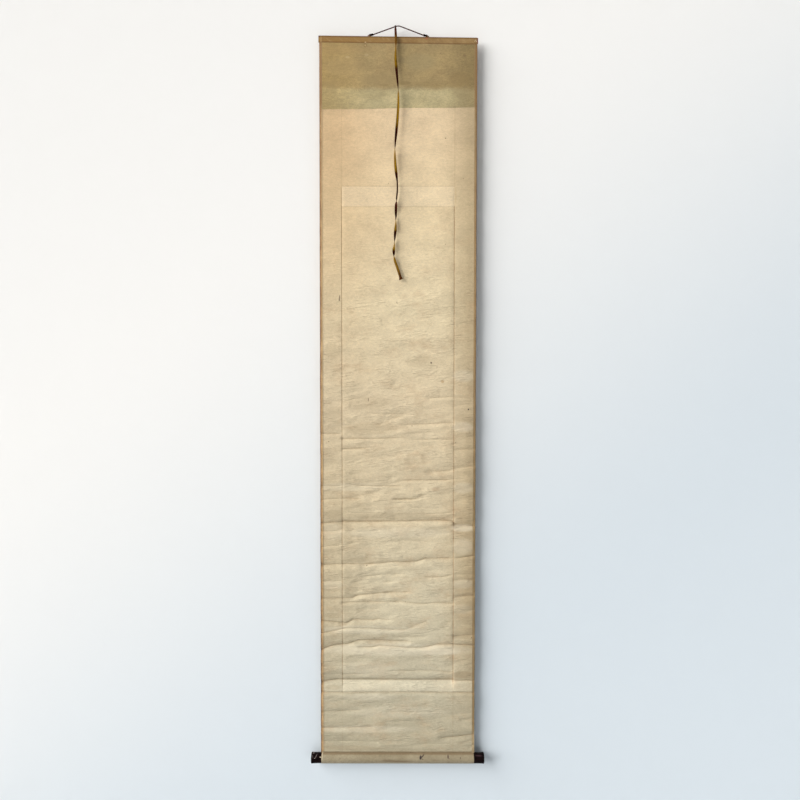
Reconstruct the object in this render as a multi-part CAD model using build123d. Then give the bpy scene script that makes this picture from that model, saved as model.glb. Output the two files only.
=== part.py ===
from build123d import *
from dataclasses import dataclass
from itertools import pairwise
import math
import os

os.makedirs("parts", exist_ok=True)

# A hanging scroll, in millimetres. The origin is the top of the nail that the hanging cord rests on.
# +Z is up, the back of the scroll, with its ribbon, faces -Y, and the picture side faces +Y.

# Hanging cord
nail_radius = 1.0
cord_diameter = 2.4
hang_height = 27.6  # from the nail's top down to the wrapped top edge of the rod, at mid width

# Top rod: flat at the back, round at the front
rod_overhang = 1.5  # past the sheet's edge at each end
rod_height = 15.0
rod_depth = 8.0
rod_top_width = 5.0
rod_foot_width = 2.0
rod_drop = 5.1  # how much lower its right end hangs than its left
top_flap_height = 1.5  # cloth below the rod pocket, pasted down on the back

# Eyelets
eyelet_spacing = 150.0
eyelet_wire_diameter = 1.2
eyelet_loop_radius = 2.1  # to the middle of the wire
shank_diameter = 1.8
shank_depth = 11.0  # in the wood
washer_length = 12.0
washer_width = 4.6
washer_thickness = 0.6

# Knots of the hanging cord
knot_length = 9.0
knot_radius = 2.3
knot_neck_radius = 1.15
knot_end_radius = 1.4
knot_clearance = 1.5  # from the middle of the eyelet's loop to the knot
stopper_radius = 1.7
stopper_offset = 2.2  # from the middle of the eyelet's loop to the middle of the stopper

# Lined sheet, layer by layer
sheet_width = 408.0
mount_thickness = 0.4
backing_thickness = 0.4
cover_thickness = 0.3
edge_fold_width = 7.0

# Lengths down the sheet, at mid width
upper_margin = 364.4  # from the top flap to the upper strip
upper_strip_height = 52.7
panel_width = 292.0
panel_height = 1248.0
lower_strip_height = 32.2
lower_margin = 160.3  # from the lower strip to the roller
cover_height = 165.0  # from the top flap to the cover's lower edge
cover_rise = 5.4  # how much higher that edge is at the right than at the left

# Creases: how far each groove runs out above and below its bottom
crease_rise = 12.0
crease_fall = 7.0
strip_groove = 1.0  # depth of the grooves along both edges of the lower strip

# Bottom roller
roller_radius = 13.1
roller_inset = 2.0  # from the sheet's edge to the end of the wrapped roller
low_flap_height = 4.0
pocket_fillet = 2.0
tenon_radius = 6.0
tenon_length = 16.0

# Knobs
knob_length = 28.0
knob_inner_radius = 13.2
knob_waist_radius = 13.1
knob_waist_height = 8.9  # from its inner end
knob_outer_radius = 13.9
knob_edge_radius = 1.8
knob_crown = 0.8  # how far its outer end rises to the middle
socket_clearance = 0.1
socket_end_gap = 0.5

# Winding ribbon, drawn as a round cord of the flat tape's section
ribbon_diameter = 3.0
ribbon_knot_radius = 2.4
ribbon_knot_length = 5.0
ribbon_stub_radius = 1.9
ribbon_stub_length = 4.4
ribbon_knot_offset = 8.0  # from the cord's apex, along its left leg
arc_share = 0.45  # how much of the shorter run beside it each arc takes up
ribbon_route = [
    (-6.5, -8.0, -26.0),
    (-6.0, -8.7, -50.0),
    (-7.6, -10.0, -84.0),
    (-4.0, -12.4, -123.0),
    (-0.5, -15.0, -163.0),
    (0.5, -16.6, -202.0),
    (-1.7, -16.0, -241.0),
    (-5.4, -14.6, -279.0),
    (-9.2, -13.4, -320.0),
    (-7.2, -12.0, -364.0),
    (-0.6, -9.8, -412.0),
    (-6.3, -8.4, -459.0),
    (-5.4, -8.0, -505.0),
    (-9.3, -9.4, -549.0),
    (-12.6, -8.8, -592.5),
    (-1.0, -8.2, -622.5),
    (8.0, -9.2, -651.5),
]

# Half widths
half_sheet = sheet_width / 2
half_backing = half_sheet - mount_thickness
half_cover = half_sheet - edge_fold_width
half_panel = panel_width / 2
half_roller = half_sheet - roller_inset
half_rod = half_sheet + rod_overhang

# Heights of the scroll's lines at mid width, worked out from the top down
rod_slope = rod_drop / (2 * half_rod)
rod_tilt = math.degrees(math.atan(rod_slope))
wrap_top = -hang_height
rod_top = wrap_top - mount_thickness
rod_foot = rod_top - rod_height
wrap_foot = rod_foot - mount_thickness
top_flap_end = wrap_foot - top_flap_height
strip_top = top_flap_end - upper_margin
panel_top = strip_top - upper_strip_height
panel_foot = panel_top - panel_height
strip_foot = panel_foot - lower_strip_height
roller_crease = strip_foot - lower_margin
wrapped_radius = roller_radius + mount_thickness
roller_height = roller_crease - wrapped_radius
low_flap_top = roller_crease + low_flap_height

# Faces of the layers, from the back (-Y) to the front
rod_back = -rod_top_width / 2
back_face = rod_back + cover_thickness
seam = back_face + backing_thickness
front_face = seam + mount_thickness


@dataclass(frozen=True)
class Row:
    """A line across the sheet: its height at mid width, its depth to the front and its drop at each edge."""

    height: float
    depth: float = 0.0
    left_drop: float = 0.0
    right_drop: float = 0.0

    def point(self, x, y):
        drop = self.right_drop if x > 0 else self.left_drop
        return Vector(x, y + self.depth, self.height - drop * abs(x) / half_sheet)


def rod_row(height):
    """A line across the sheet that runs along the top rod, which hangs lower at its right end."""
    drop = rod_slope * half_sheet
    return Row(height, 0.0, -drop, drop)


def crease(height, depth, left_drop=0.0, right_drop=0.0):
    """The three lines of one crease: where the paper starts to sink, its bottom, and where it is out again."""
    return [
        Row(height + crease_rise, 0.0, left_drop, right_drop),
        Row(height, depth, left_drop, right_drop),
        Row(height - crease_fall, 0.0, left_drop, right_drop),
    ]


def share_down(top, foot, share):
    return top - share * (top - foot)


def panel_creases():
    """The creases across the picture panel: place down the panel, depth, and drop at the left and right edge."""
    creases = [
        (0.398, 0.8, 0.0, 2.0),
        (0.455, 0.9, 0.0, -3.0),
        (0.506, 1.0, 2.0, -5.0),
        (0.585, 1.2, 3.0, 0.0),
        (0.659, 2.4, 0.0, 10.0),
        (0.748, 2.2, 2.0, -10.0),
        (0.815, 1.2, 0.0, 4.0),
        (0.869, 1.2, -2.0, -5.0),
        (0.920, 2.4, 20.0, 8.0),
        (0.972, 1.2, 2.0, -4.0),
    ]
    return [crease(share_down(panel_top, panel_foot, share), *form) for share, *form in creases]


def lower_creases():
    """The creases between the lower strip and the roller."""
    creases = [
        (0.33, 1.2, 3.0, -2.0),
        (0.58, 1.4, 4.0, 0.0),
        (0.78, 1.6, 0.0, -8.0),
    ]
    return [crease(share_down(strip_foot, roller_crease, share), *form) for share, *form in creases]


def flat(groups):
    return [row for group in groups for row in group]


def panel_rows():
    """The lines across the picture panel, from its top edge to the bottom of the groove at its foot."""
    return [Row(panel_top), *flat(panel_creases()), *crease(panel_foot, strip_groove)[:2]]


def lower_strip_rows():
    """The lines across the lower strip, from groove to groove."""
    above = crease(panel_foot, strip_groove)[1:]
    below = crease(strip_foot, strip_groove)[:2]
    return [*above, *below]


def sheet_rows():
    """The lines of the whole sheet between its two pockets."""
    lower_groove = crease(strip_foot, strip_groove)[2:]
    return [
        Row(strip_top),
        *panel_rows(),
        *lower_strip_rows()[1:],
        *lower_groove,
        *flat(lower_creases()),
    ]


def creased_solid(outline, rows):
    """A thin solid with this plan outline, carried down the sheet from row to row and creased at each."""
    faces = []
    for upper, lower in pairwise(rows):
        for here, there in zip(outline, outline[1:] + outline[:1]):
            corners = [upper.point(*here), upper.point(*there), lower.point(*there), lower.point(*here)]
            faces.append(Face(Wire.make_polygon(corners)))
    for row in (rows[0], rows[-1]):
        faces.append(Face(Wire.make_polygon([row.point(x, y) for x, y in outline])))
    return Solid(Shell(faces))


def slab(half_width, back, front, rows):
    """A creased solid of one even width and thickness."""
    outline = [
        (-half_width, front),
        (0.0, front),
        (half_width, front),
        (half_width, back),
        (0.0, back),
        (-half_width, back),
    ]
    return creased_solid(outline, rows)


def yz_rectangle(back, front, foot, top):
    """A rectangle of the section that looks along the rods."""
    return Pos((back + front) / 2, (foot + top) / 2) * Rectangle(front - back, top - foot)


def along_rod(section, left, right):
    """A section carried along the top rod's slope."""
    start = Location((left, 0, -rod_slope * left)) * (Plane.YZ * section)
    return Solid.extrude(start.face(), Vector(right - left, 0, -rod_slope * (right - left)))


def along_roller(section, half_length):
    start = Location((-half_length, 0, 0)) * (Plane.YZ * section)
    return Solid.extrude(start.face(), Vector(2 * half_length, 0, 0))


def on_rod(x):
    """The place on the wrapped top edge of the rod, leaning with it."""
    return Location((x, 0, wrap_top - rod_slope * x), (0, rod_tilt, 0))


def rod_section():
    """The half-round stave: a flat back, blunt edges at its top and foot, and a round front."""
    foot_corner = (rod_back, rod_foot)
    top_corner = (rod_back, rod_top)
    crown = (rod_back + rod_depth, (rod_top + rod_foot) / 2)
    front_foot = (rod_back + rod_foot_width, rod_foot)
    front_top = (rod_back + rod_top_width, rod_top)
    outline = Polyline(front_foot, foot_corner, top_corner, front_top)
    front = ThreePointArc(front_top, crown, front_foot)
    return make_face(outline + front)


def eyelet_bore(x):
    """The hole of an eyelet's shank, from above the cloth down into the wood."""
    length = washer_thickness + mount_thickness + shank_depth
    middle = washer_thickness - length / 2
    return on_rod(x) * Pos(0, 0, middle) * Cylinder(shank_diameter / 2, length)


def top_rod():
    rod = along_rod(rod_section(), -half_rod, half_rod)
    for x in (-eyelet_spacing / 2, eyelet_spacing / 2):
        rod = rod - eyelet_bore(x)
    return rod


def top_pocket():
    """The cloth round the top rod, the layers pasted together below it, and the tab over its left end."""
    core = rod_section()
    wrap = offset(core, amount=mount_thickness, kind=Kind.ARC)
    flap = yz_rectangle(rod_back - mount_thickness, rod_back, top_flap_end, rod_foot)
    front = yz_rectangle(seam, front_face, top_flap_end, wrap_foot + mount_thickness / 2)
    ring = wrap - core
    pocket = along_rod(ring + flap + front, -half_sheet, half_sheet)
    pocket = pocket + along_rod(ring, -half_rod, -half_sheet)
    pocket = pocket + along_rod(wrap, -half_rod - mount_thickness, -half_rod)
    for x in (-eyelet_spacing / 2, eyelet_spacing / 2):
        pocket = pocket - eyelet_bore(x)
    return pocket


def roller_section(radius):
    return Pos(seam, roller_height) * Circle(radius)


def low_pocket():
    """The cloth round the roller, and the two layers that hold the backing paper's foot between them."""
    inner = roller_height + roller_radius + mount_thickness / 2
    front = yz_rectangle(seam, front_face, inner, low_flap_top)
    flap = yz_rectangle(back_face - mount_thickness, back_face, inner, low_flap_top)
    ring = roller_section(wrapped_radius) - roller_section(roller_radius)
    section = ring + front + flap
    middle = (back_face + seam) / 2
    corners = [
        v for v in section.vertices()
        if abs(v.Y - roller_crease) < mount_thickness and abs(v.X - middle) > mount_thickness
    ]
    section = fillet(corners, pocket_fillet)
    edge_front = yz_rectangle(seam, front_face, roller_crease, low_flap_top)
    edge_flap = yz_rectangle(back_face - mount_thickness, back_face, roller_crease, low_flap_top)
    pocket = along_roller(section, half_roller)
    return pocket + along_roller(edge_front, half_sheet) + along_roller(edge_flap, half_sheet)


def mount_cloth():
    """The mounting: a window for the panel and strips, edges folded over the back, and a pocket at each end."""
    fold_back = back_face - mount_thickness
    right_side = [
        (half_sheet, front_face),
        (half_sheet, fold_back),
        (half_cover, fold_back),
        (half_cover, back_face),
        (half_backing, back_face),
        (half_backing, seam),
    ]
    left_side = [(-x, y) for x, y in reversed(right_side)]
    outline = [(0.0, front_face), *right_side, (0.0, seam), *left_side]
    cloth = creased_solid(outline, [rod_row(top_flap_end), *sheet_rows(), Row(low_flap_top)])
    window_height = strip_top - strip_foot
    through = sheet_width
    window = Pos(0, 0, strip_top - window_height / 2) * Box(panel_width, through, window_height)
    return (cloth - window) + top_pocket() + low_pocket()


def backing_paper():
    return slab(half_backing, back_face, seam, [rod_row(wrap_foot), *sheet_rows(), Row(roller_crease)])


def cover_band():
    """The silk on the back: full width under the top flap, then between the folds, with a slanting foot."""
    flap_drop = rod_slope * half_sheet
    neck_drop = rod_slope * half_cover
    foot = top_flap_end - cover_height
    foot_rise = cover_rise / 2
    corners = [
        (-half_sheet, wrap_foot + flap_drop),
        (half_sheet, wrap_foot - flap_drop),
        (half_sheet, top_flap_end - flap_drop),
        (half_cover, top_flap_end - neck_drop),
        (half_cover, foot + foot_rise),
        (-half_cover, foot - foot_rise),
        (-half_cover, top_flap_end + neck_drop),
        (-half_sheet, top_flap_end + flap_drop),
    ]
    face = Face(Wire.make_polygon([Vector(x, rod_back, z) for x, z in corners]))
    return Solid.extrude(face, Vector(0, cover_thickness, 0))


def picture_panel():
    return slab(half_panel, seam, front_face, panel_rows())


def upper_strip():
    return slab(half_panel, seam, front_face, [Row(strip_top), Row(panel_top)])


def lower_strip():
    return slab(half_panel, seam, front_face, lower_strip_rows())


def roller_rod():
    """The dowel with a tenon at each end."""
    dowel = along_roller(roller_section(roller_radius), half_roller)
    return dowel + along_roller(roller_section(tenon_radius), half_roller + tenon_length)


def knob():
    """A turned knob that stands on its inner end, with a socket for the tenon and a crowned outer end."""
    socket_radius = tenon_radius + socket_clearance
    socket_depth = tenon_length + socket_end_gap
    edge_height = knob_length - knob_crown - knob_edge_radius
    flat_radius = knob_outer_radius - knob_edge_radius
    shoulder = (knob_outer_radius, edge_height)
    bend = knob_edge_radius * math.sqrt(0.5)
    edge_middle = (flat_radius + bend, edge_height + bend)
    side = ThreePointArc((knob_inner_radius, 0), (knob_waist_radius, knob_waist_height), shoulder)
    edge = ThreePointArc(shoulder, edge_middle, (flat_radius, knob_length - knob_crown))
    close = Polyline(
        edge @ 1,
        (0, knob_length),
        (0, socket_depth),
        (socket_radius, socket_depth),
        (socket_radius, 0),
        (knob_inner_radius, 0),
    )
    return revolve(Plane.XZ * make_face(side + edge + close), axis=Axis.Z)


def right_knob():
    return Location((half_roller, seam, roller_height), (0, 90, 0)) * knob()


def left_knob():
    return Location((-half_roller, seam, roller_height), (0, -90, 0)) * knob()


def loop_height():
    """The middle of an eyelet's loop above the cloth."""
    return washer_thickness + eyelet_loop_radius + eyelet_wire_diameter / 2


def eyelet(x):
    """A wire loop that faces along the rod, on a shank driven through the cloth into the wood."""
    wire_radius = eyelet_wire_diameter / 2
    loop = Pos(0, 0, loop_height()) * Rot(0, 90, 0) * Torus(eyelet_loop_radius, wire_radius)
    foot = -mount_thickness - shank_depth
    top = washer_thickness + wire_radius
    shank = Pos(0, 0, (foot + top) / 2) * Cylinder(shank_diameter / 2, top - foot)
    return on_rod(x) * (loop + shank)


def washer(x):
    """The thin rounded plate on the cloth, with a hole for the shank."""
    plate = SlotOverall(washer_length, washer_width) - Circle(shank_diameter / 2)
    return on_rod(x) * extrude(plate, washer_thickness)


def loop_middle(side):
    """The middle of an eyelet's loop: side is -1 for the left one and 1 for the right one."""
    return (on_rod(side * eyelet_spacing / 2) * Pos(0, 0, loop_height())).position


def cord_direction(side):
    """The way the taut cord runs from an eyelet up to the nail, which it touches on top."""
    nail = Vector(0, 0, -nail_radius)
    to_nail = nail - loop_middle(side)
    bend_radius = nail_radius + cord_diameter / 2
    angle = math.atan2(to_nail.Z, abs(to_nail.X)) + math.asin(bend_radius / to_nail.length)
    return Vector(-side * math.cos(angle), 0, math.sin(angle))


def cord_apex():
    """The corner where the two straight legs of the hanging cord would meet."""
    left, right = loop_middle(-1), loop_middle(1)
    rise, fall = cord_direction(-1), cord_direction(1)
    span = right - left
    cross = rise.X * fall.Z - rise.Z * fall.X
    return left + rise * ((span.X * fall.Z - span.Z * fall.X) / cross)


def knot_end():
    return knot_clearance + knot_length


def cord_knot(side):
    """The cord tied through an eyelet: a winding inside, a neck through the loop and a stopper outside."""
    start = stopper_offset + stopper_radius
    meet = math.sqrt(stopper_radius**2 - knot_neck_radius**2) - stopper_offset
    stopper = ThreePointArc((0, -start), (stopper_radius, -stopper_offset), (knot_neck_radius, meet))
    neck = Polyline(stopper @ 1, (knot_neck_radius, knot_clearance), (knot_end_radius, knot_clearance))
    winding = ThreePointArc(
        neck @ 1, (knot_radius, knot_clearance + knot_length / 2), (knot_end_radius, knot_end())
    )
    close = Polyline(winding @ 1, (0, knot_end()), (0, -start))
    outline = make_face(stopper + neck + winding + close)
    place = Plane(origin=loop_middle(side), x_dir=(0, 1, 0), z_dir=cord_direction(side))
    return place.location * revolve(Plane.XZ * outline, axis=Axis.Z)


def tube(points, radii, diameter):
    """A round cord along straight runs that are joined by tangent arcs, and its length."""
    path = FilletPolyline(*points, radius=radii)
    start = Plane(origin=path @ 0, z_dir=path % 0)
    return sweep(start * Circle(diameter / 2), path=path), path.length


def hanging_cord():
    start = loop_middle(-1) + cord_direction(-1) * knot_end()
    end = loop_middle(1) + cord_direction(1) * knot_end()
    bend_radius = nail_radius + cord_diameter / 2
    return tube([start, cord_apex(), end], [bend_radius], cord_diameter)


def ribbon_knot_middle():
    return cord_apex() - cord_direction(-1) * ribbon_knot_offset


def ribbon_direction():
    return (Vector(*ribbon_route[0]) - ribbon_knot_middle()).normalized()


def ribbon_knot():
    """The loop of the tape: a sleeve round the hanging cord and the short stub that the tape hangs from."""
    middle = ribbon_knot_middle()
    along_cord = Plane(origin=middle, z_dir=cord_direction(-1)).location
    along_tape = Plane(origin=middle, z_dir=ribbon_direction()).location
    sleeve = along_cord * Cylinder(ribbon_knot_radius, ribbon_knot_length)
    stub = along_tape * Pos(0, 0, ribbon_stub_length / 2) * Cylinder(ribbon_stub_radius, ribbon_stub_length)
    through = 2 * ribbon_knot_length
    return sleeve + stub - along_cord * Cylinder(cord_diameter / 2, through)


def winding_ribbon():
    start = ribbon_knot_middle() + ribbon_direction() * ribbon_stub_length
    points = [start, *[Vector(*place) for place in ribbon_route]]
    runs = [there - here for here, there in pairwise(points)]
    radii = []
    for before, after in pairwise(runs):
        half_turn = math.radians(before.get_angle(after) / 2)
        radii.append(arc_share * min(before.length, after.length) / math.tan(half_turn))
    print("ribbon runs", [round(run.length, 1) for run in runs])
    print("ribbon radii", [round(radius, 1) for radius in radii])
    return tube(points, radii, ribbon_diameter)


def tube_report(name, solid, length, diameter):
    """Prints a cord's length, and its volume beside its section times its length."""
    expected = length * math.pi * diameter**2 / 4
    print(name, "length", round(length, 1), "volume", round(solid.volume, 1), "of", round(expected, 1))


cord, cord_length = hanging_cord()
ribbon, ribbon_length = winding_ribbon()
tube_report("hanging_cord", cord, cord_length, cord_diameter)
tube_report("winding_ribbon", ribbon, ribbon_length, ribbon_diameter)
print("cord radii", [nail_radius + cord_diameter / 2])

nodes = {
    "mount_cloth": mount_cloth(),
    "backing_paper": backing_paper(),
    "cover_band": cover_band(),
    "picture_panel": picture_panel(),
    "upper_strip": upper_strip(),
    "lower_strip": lower_strip(),
    "top_rod": top_rod(),
    "roller_rod": roller_rod(),
    "left_knob": left_knob(),
    "right_knob": right_knob(),
    "left_eyelet": eyelet(-eyelet_spacing / 2),
    "right_eyelet": eyelet(eyelet_spacing / 2),
    "left_washer": washer(-eyelet_spacing / 2),
    "right_washer": washer(eyelet_spacing / 2),
    "left_cord_knot": cord_knot(-1),
    "right_cord_knot": cord_knot(1),
    "hanging_cord": cord,
    "ribbon_knot": ribbon_knot(),
    "winding_ribbon": ribbon,
}
for name, solid in nodes.items():
    export_step(solid, f"parts/{name}.step")
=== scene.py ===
"""The looks of a hanging paper scroll that shows its creased back.

Lengths are in metres. Places in the photograph are pixels of its 800 by 800 frame, and the Viewpoint class turns
them into places on the sheet.
"""

import logging
import math
import random
from collections.abc import Callable, Iterator, Sequence
from dataclasses import dataclass
from enum import Enum
from functools import cached_property

import bmesh
import bpy
import numpy as np
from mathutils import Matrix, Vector


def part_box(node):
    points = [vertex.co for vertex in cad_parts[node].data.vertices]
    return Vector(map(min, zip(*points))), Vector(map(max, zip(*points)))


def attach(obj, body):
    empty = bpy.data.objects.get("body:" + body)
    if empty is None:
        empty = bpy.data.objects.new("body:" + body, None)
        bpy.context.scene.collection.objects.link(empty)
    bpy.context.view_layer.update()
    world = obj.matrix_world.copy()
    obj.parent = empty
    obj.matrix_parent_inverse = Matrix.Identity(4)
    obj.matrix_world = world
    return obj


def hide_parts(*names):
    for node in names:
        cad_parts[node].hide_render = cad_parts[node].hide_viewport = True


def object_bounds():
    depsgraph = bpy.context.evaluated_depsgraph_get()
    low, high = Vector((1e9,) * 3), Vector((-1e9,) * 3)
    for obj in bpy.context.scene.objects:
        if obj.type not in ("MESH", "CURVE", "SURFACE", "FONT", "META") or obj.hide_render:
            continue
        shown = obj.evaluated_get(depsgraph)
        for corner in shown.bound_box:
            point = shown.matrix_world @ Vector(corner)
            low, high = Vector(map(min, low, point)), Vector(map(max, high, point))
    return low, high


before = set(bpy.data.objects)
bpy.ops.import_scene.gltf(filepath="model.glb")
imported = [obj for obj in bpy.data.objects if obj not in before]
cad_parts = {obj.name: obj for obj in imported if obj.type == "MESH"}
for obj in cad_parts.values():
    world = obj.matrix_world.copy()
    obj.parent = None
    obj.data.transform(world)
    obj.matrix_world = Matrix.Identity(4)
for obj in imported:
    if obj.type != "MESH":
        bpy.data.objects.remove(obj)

Pair = tuple[float, float]
Triple = tuple[float, float, float]
Course = Sequence[float]
Colour = Triple
Stops = Sequence[tuple[float, Colour | float]]
Grid = np.ndarray
Mesh = bpy.types.Mesh
Piece = bpy.types.Object
Material = bpy.types.Material
Socket = bpy.types.NodeSocket
Value = float | Socket

CAD_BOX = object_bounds()
LOG = logging.getLogger("scroll")

MOUNT_THICKNESS = 0.0004
BACKING_THICKNESS = 0.0004
EDGE_FOLD = 0.007
ROD_HEIGHT = 0.015
ROD_TOP_WIDTH = 0.005
ROD_FOOT_WIDTH = 0.002
TOP_FLAP = 0.0015
LOW_FLAP = 0.004
COVER_HEIGHT = 0.165
COVER_RISE = 0.0054
END_TAB = 0.0004
SHARP_DEGREES = 50.0

# Columns of the photograph at the edges of the sheet and of its panel, where other edges stop a crease.
LEFT, RIGHT = 320.5, 475.0
STOPS = (LEFT, 341.5, 453.0, RIGHT)
STOP_ROOM = 2.5
STOPPED_FADE = 0.013
# How many times its width a fold is followed, and how much slower the second part of its slope falls off.
FOLD_REACH = 14.0
SLOW_FALL = 3.2
# The dark line along the folds that were opened most: soil, and painted shade in the crease.
SOIL_AND_SHADE_WIDTH = 0.0013
SOILED_AND_SHADED_DEPTH = 0.0055
LEAST_SOILED_AND_SHADED = 0.0024


class Slot(Enum):
    """The record's material slots, passed along with the drawn pieces."""

    MOUNT = "mount_cloth"
    BACKING = "backing_paper"
    COVER = "cover_silk"
    PANEL = "panel_paper"
    STRIP = "strip_silk"
    CORD = "cord_silk"
    RIBBON = "ribbon_silk"


class Side(Enum):
    """The two ends of the scroll, as factors of X."""

    LEFT = -1
    RIGHT = 1

    @property
    def word(self) -> str:
        """The side's name as it stands in piece names."""
        return self.name.lower()


@dataclass(frozen=True)
class Sizes:
    """Sizes of the scroll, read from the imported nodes."""

    half_sheet: float
    half_backing: float
    half_panel: float
    half_rod: float
    half_roller: float
    rod_slope: float
    rod_top: float
    strip_top: float
    panel_top: float
    panel_foot: float
    strip_foot: float
    roller_crease: float
    roller_height: float
    roller_radius: float
    rod_back: float
    rod_front: float
    back_face: float

    @property
    def half_cover(self) -> float:
        """From mid width to the inner edge of a folded long edge."""
        return self.half_sheet - EDGE_FOLD

    @property
    def bend(self) -> float:
        """From mid width to where the mounting bends over to the back."""
        return self.half_sheet - 1.5 * MOUNT_THICKNESS

    @property
    def rod_foot(self) -> float:
        """The rod's lower edge at mid width."""
        return self.rod_top - ROD_HEIGHT

    @property
    def wrap_foot(self) -> float:
        """The lower edge of the cloth round the rod."""
        return self.rod_foot - MOUNT_THICKNESS

    @property
    def flap_end(self) -> float:
        """The lower edge of the flap that closes the top pocket."""
        return self.wrap_foot - TOP_FLAP

    @property
    def cover_foot(self) -> float:
        """The lower edge of the cover band."""
        return self.flap_end - COVER_HEIGHT

    @property
    def seam(self) -> float:
        """The face between the backing paper and the mounting."""
        return self.back_face + BACKING_THICKNESS

    @property
    def front_face(self) -> float:
        """The picture side of the mounting."""
        return self.seam + MOUNT_THICKNESS

    @classmethod
    def from_frame(cls) -> "Sizes":
        """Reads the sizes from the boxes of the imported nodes.

        Returns:
            The scroll's sizes.
        """
        rod_low, rod_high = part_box("top_rod")
        paper_low, paper_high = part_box("backing_paper")
        panel_low, panel_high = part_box("picture_panel")
        drop = rod_high.z - rod_low.z - ROD_HEIGHT
        wrapped_radius = (paper_low.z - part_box("mount_cloth")[0].z) / 2
        return cls(
            half_sheet=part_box("cover_band")[1].x,
            half_backing=paper_high.x,
            half_panel=panel_high.x,
            half_rod=rod_high.x,
            half_roller=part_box("right_knob")[0].x,
            rod_slope=drop / (2 * rod_high.x),
            rod_top=rod_high.z - drop / 2,
            strip_top=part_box("upper_strip")[1].z,
            panel_top=panel_high.z,
            panel_foot=panel_low.z,
            strip_foot=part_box("lower_strip")[0].z,
            roller_crease=paper_low.z,
            roller_height=paper_low.z - wrapped_radius,
            roller_radius=wrapped_radius - MOUNT_THICKNESS,
            rod_back=rod_low.y,
            rod_front=rod_high.y,
            back_face=paper_low.y,
        )


SIZES = Sizes.from_frame()


@dataclass(frozen=True)
class Viewpoint:
    """Where the photograph was taken from."""

    aside: float = 0.0052
    away: float = 1.652
    height: float = -0.918
    pitch: float = math.radians(1.6)
    roll: float = math.radians(0.06)
    focal_px: float = 630.4
    image_px: float = 800.0
    sensor_mm: float = 36.0

    def on_sheet(self, px: float, py: float, nearer: float = 0.0) -> Pair:
        """Finds the place on the back of the sheet that a pixel of the photograph shows.

        Args:
            px: The pixel's column.
            py: The pixel's row.
            nearer: How far the surface there lies nearer to the camera than the sheet.

        Returns:
            The place's x and z.
        """
        column, row = px - self.image_px / 2, self.image_px / 2 - py
        across = column * math.cos(self.roll) - row * math.sin(self.roll)
        up = row * math.cos(self.roll) + column * math.sin(self.roll)
        forward = self.focal_px * math.cos(self.pitch) + up * math.sin(self.pitch)
        rise = up * math.cos(self.pitch) - self.focal_px * math.sin(self.pitch)
        reach = (self.away + SIZES.back_face - nearer) / forward
        return self.aside + across * reach, self.height + rise * reach

    def level(self, row: float) -> float:
        """The height on the sheet of a row of the photograph, at its middle."""
        return self.on_sheet(self.image_px / 2, row)[1]

    def laid(self, course: Course) -> tuple[Course, Course]:
        """The places across and the heights on the sheet of a course's columns and rows."""
        xs, zs = zip(*(self.on_sheet(*pixel) for pixel in zip(course[::2], course[1::2])))
        return xs, zs

    def make_camera(self) -> None:
        """Makes the camera and sets it as the scene's."""
        data = bpy.data.cameras.new("photo_camera")
        data.sensor_width = self.sensor_mm
        data.lens = self.focal_px / self.image_px * self.sensor_mm
        data.dof.use_dof = False
        camera = bpy.data.objects.new("photo_camera", data)
        camera.location = (self.aside, -self.away, self.height)
        camera.rotation_euler = (math.pi / 2 - self.pitch, -self.roll, 0)
        bpy.context.scene.collection.objects.link(camera)
        bpy.context.scene.camera = camera


VIEWPOINT = Viewpoint()


def smooth(t: Grid) -> Grid:
    """A smooth step from 0 to 1 for t from 0 to 1."""
    t = np.clip(t, 0.0, 1.0)
    return t * t * (3 - 2 * t)


@dataclass(frozen=True)
class Crease:
    """One fold line of the paper: it sinks towards the line from above and comes out again below it.

    The course holds the columns and rows of the photograph in turn, from left to right.
    """

    course: Course
    depth: float
    above: float
    below: float
    fade: float = 0.026

    def fade_at(self, column: float) -> float:
        """The length over which an end dies out, which is short where another edge stops it."""
        return STOPPED_FADE if min(abs(column - stop) for stop in STOPS) < STOP_ROOM else self.fade

    def line(self, x: Grid) -> tuple[Grid, Grid]:
        """The fold line's height at each x, and how much of the crease is there."""
        xs, zs = VIEWPOINT.laid(self.course)
        first, last = self.fade_at(self.course[0]), self.fade_at(self.course[-2])
        share = smooth((x - xs[0]) / first + 0.5) * smooth((xs[-1] - x) / last + 0.5)
        return np.interp(x, xs, zs), share

    def soil_and_shade(self, x: Grid, z: Grid) -> Grid:
        """How dark the fold line is painted at each place: its soil, and painted shade in the crease."""
        line, share = self.line(x)
        off = np.minimum(np.abs(z - line) / SOIL_AND_SHADE_WIDTH, FOLD_REACH)
        return min(1.0, self.depth / SOILED_AND_SHADED_DEPTH) * share * np.exp(-off)

    def relief(self, x: Grid, z: Grid) -> Grid:
        """How far the paper lies back at each place, in the direction of the picture side.

        Args:
            x: The places' x.
            z: The places' z.

        Returns:
            The depth at each place.
        """
        xs, zs = VIEWPOINT.laid(self.course)
        room = max(self.fade, STOPPED_FADE)
        near = (x > xs[0] - room) & (x < xs[-1] + room)
        near &= (z > min(zs) - self.below) & (z < max(zs) + FOLD_REACH * self.above)
        line, share = self.line(x[near])
        off = z[near] - line
        rising = np.maximum(off, 0) / self.above
        falling = np.clip(1 + np.minimum(off, 0) / self.below, 0, 1) ** 2
        depth = np.zeros(near.shape)
        depth[near] = self.depth * share * falling * (np.exp(-rising) + np.exp(-rising / SLOW_FALL)) / 2
        return depth


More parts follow.
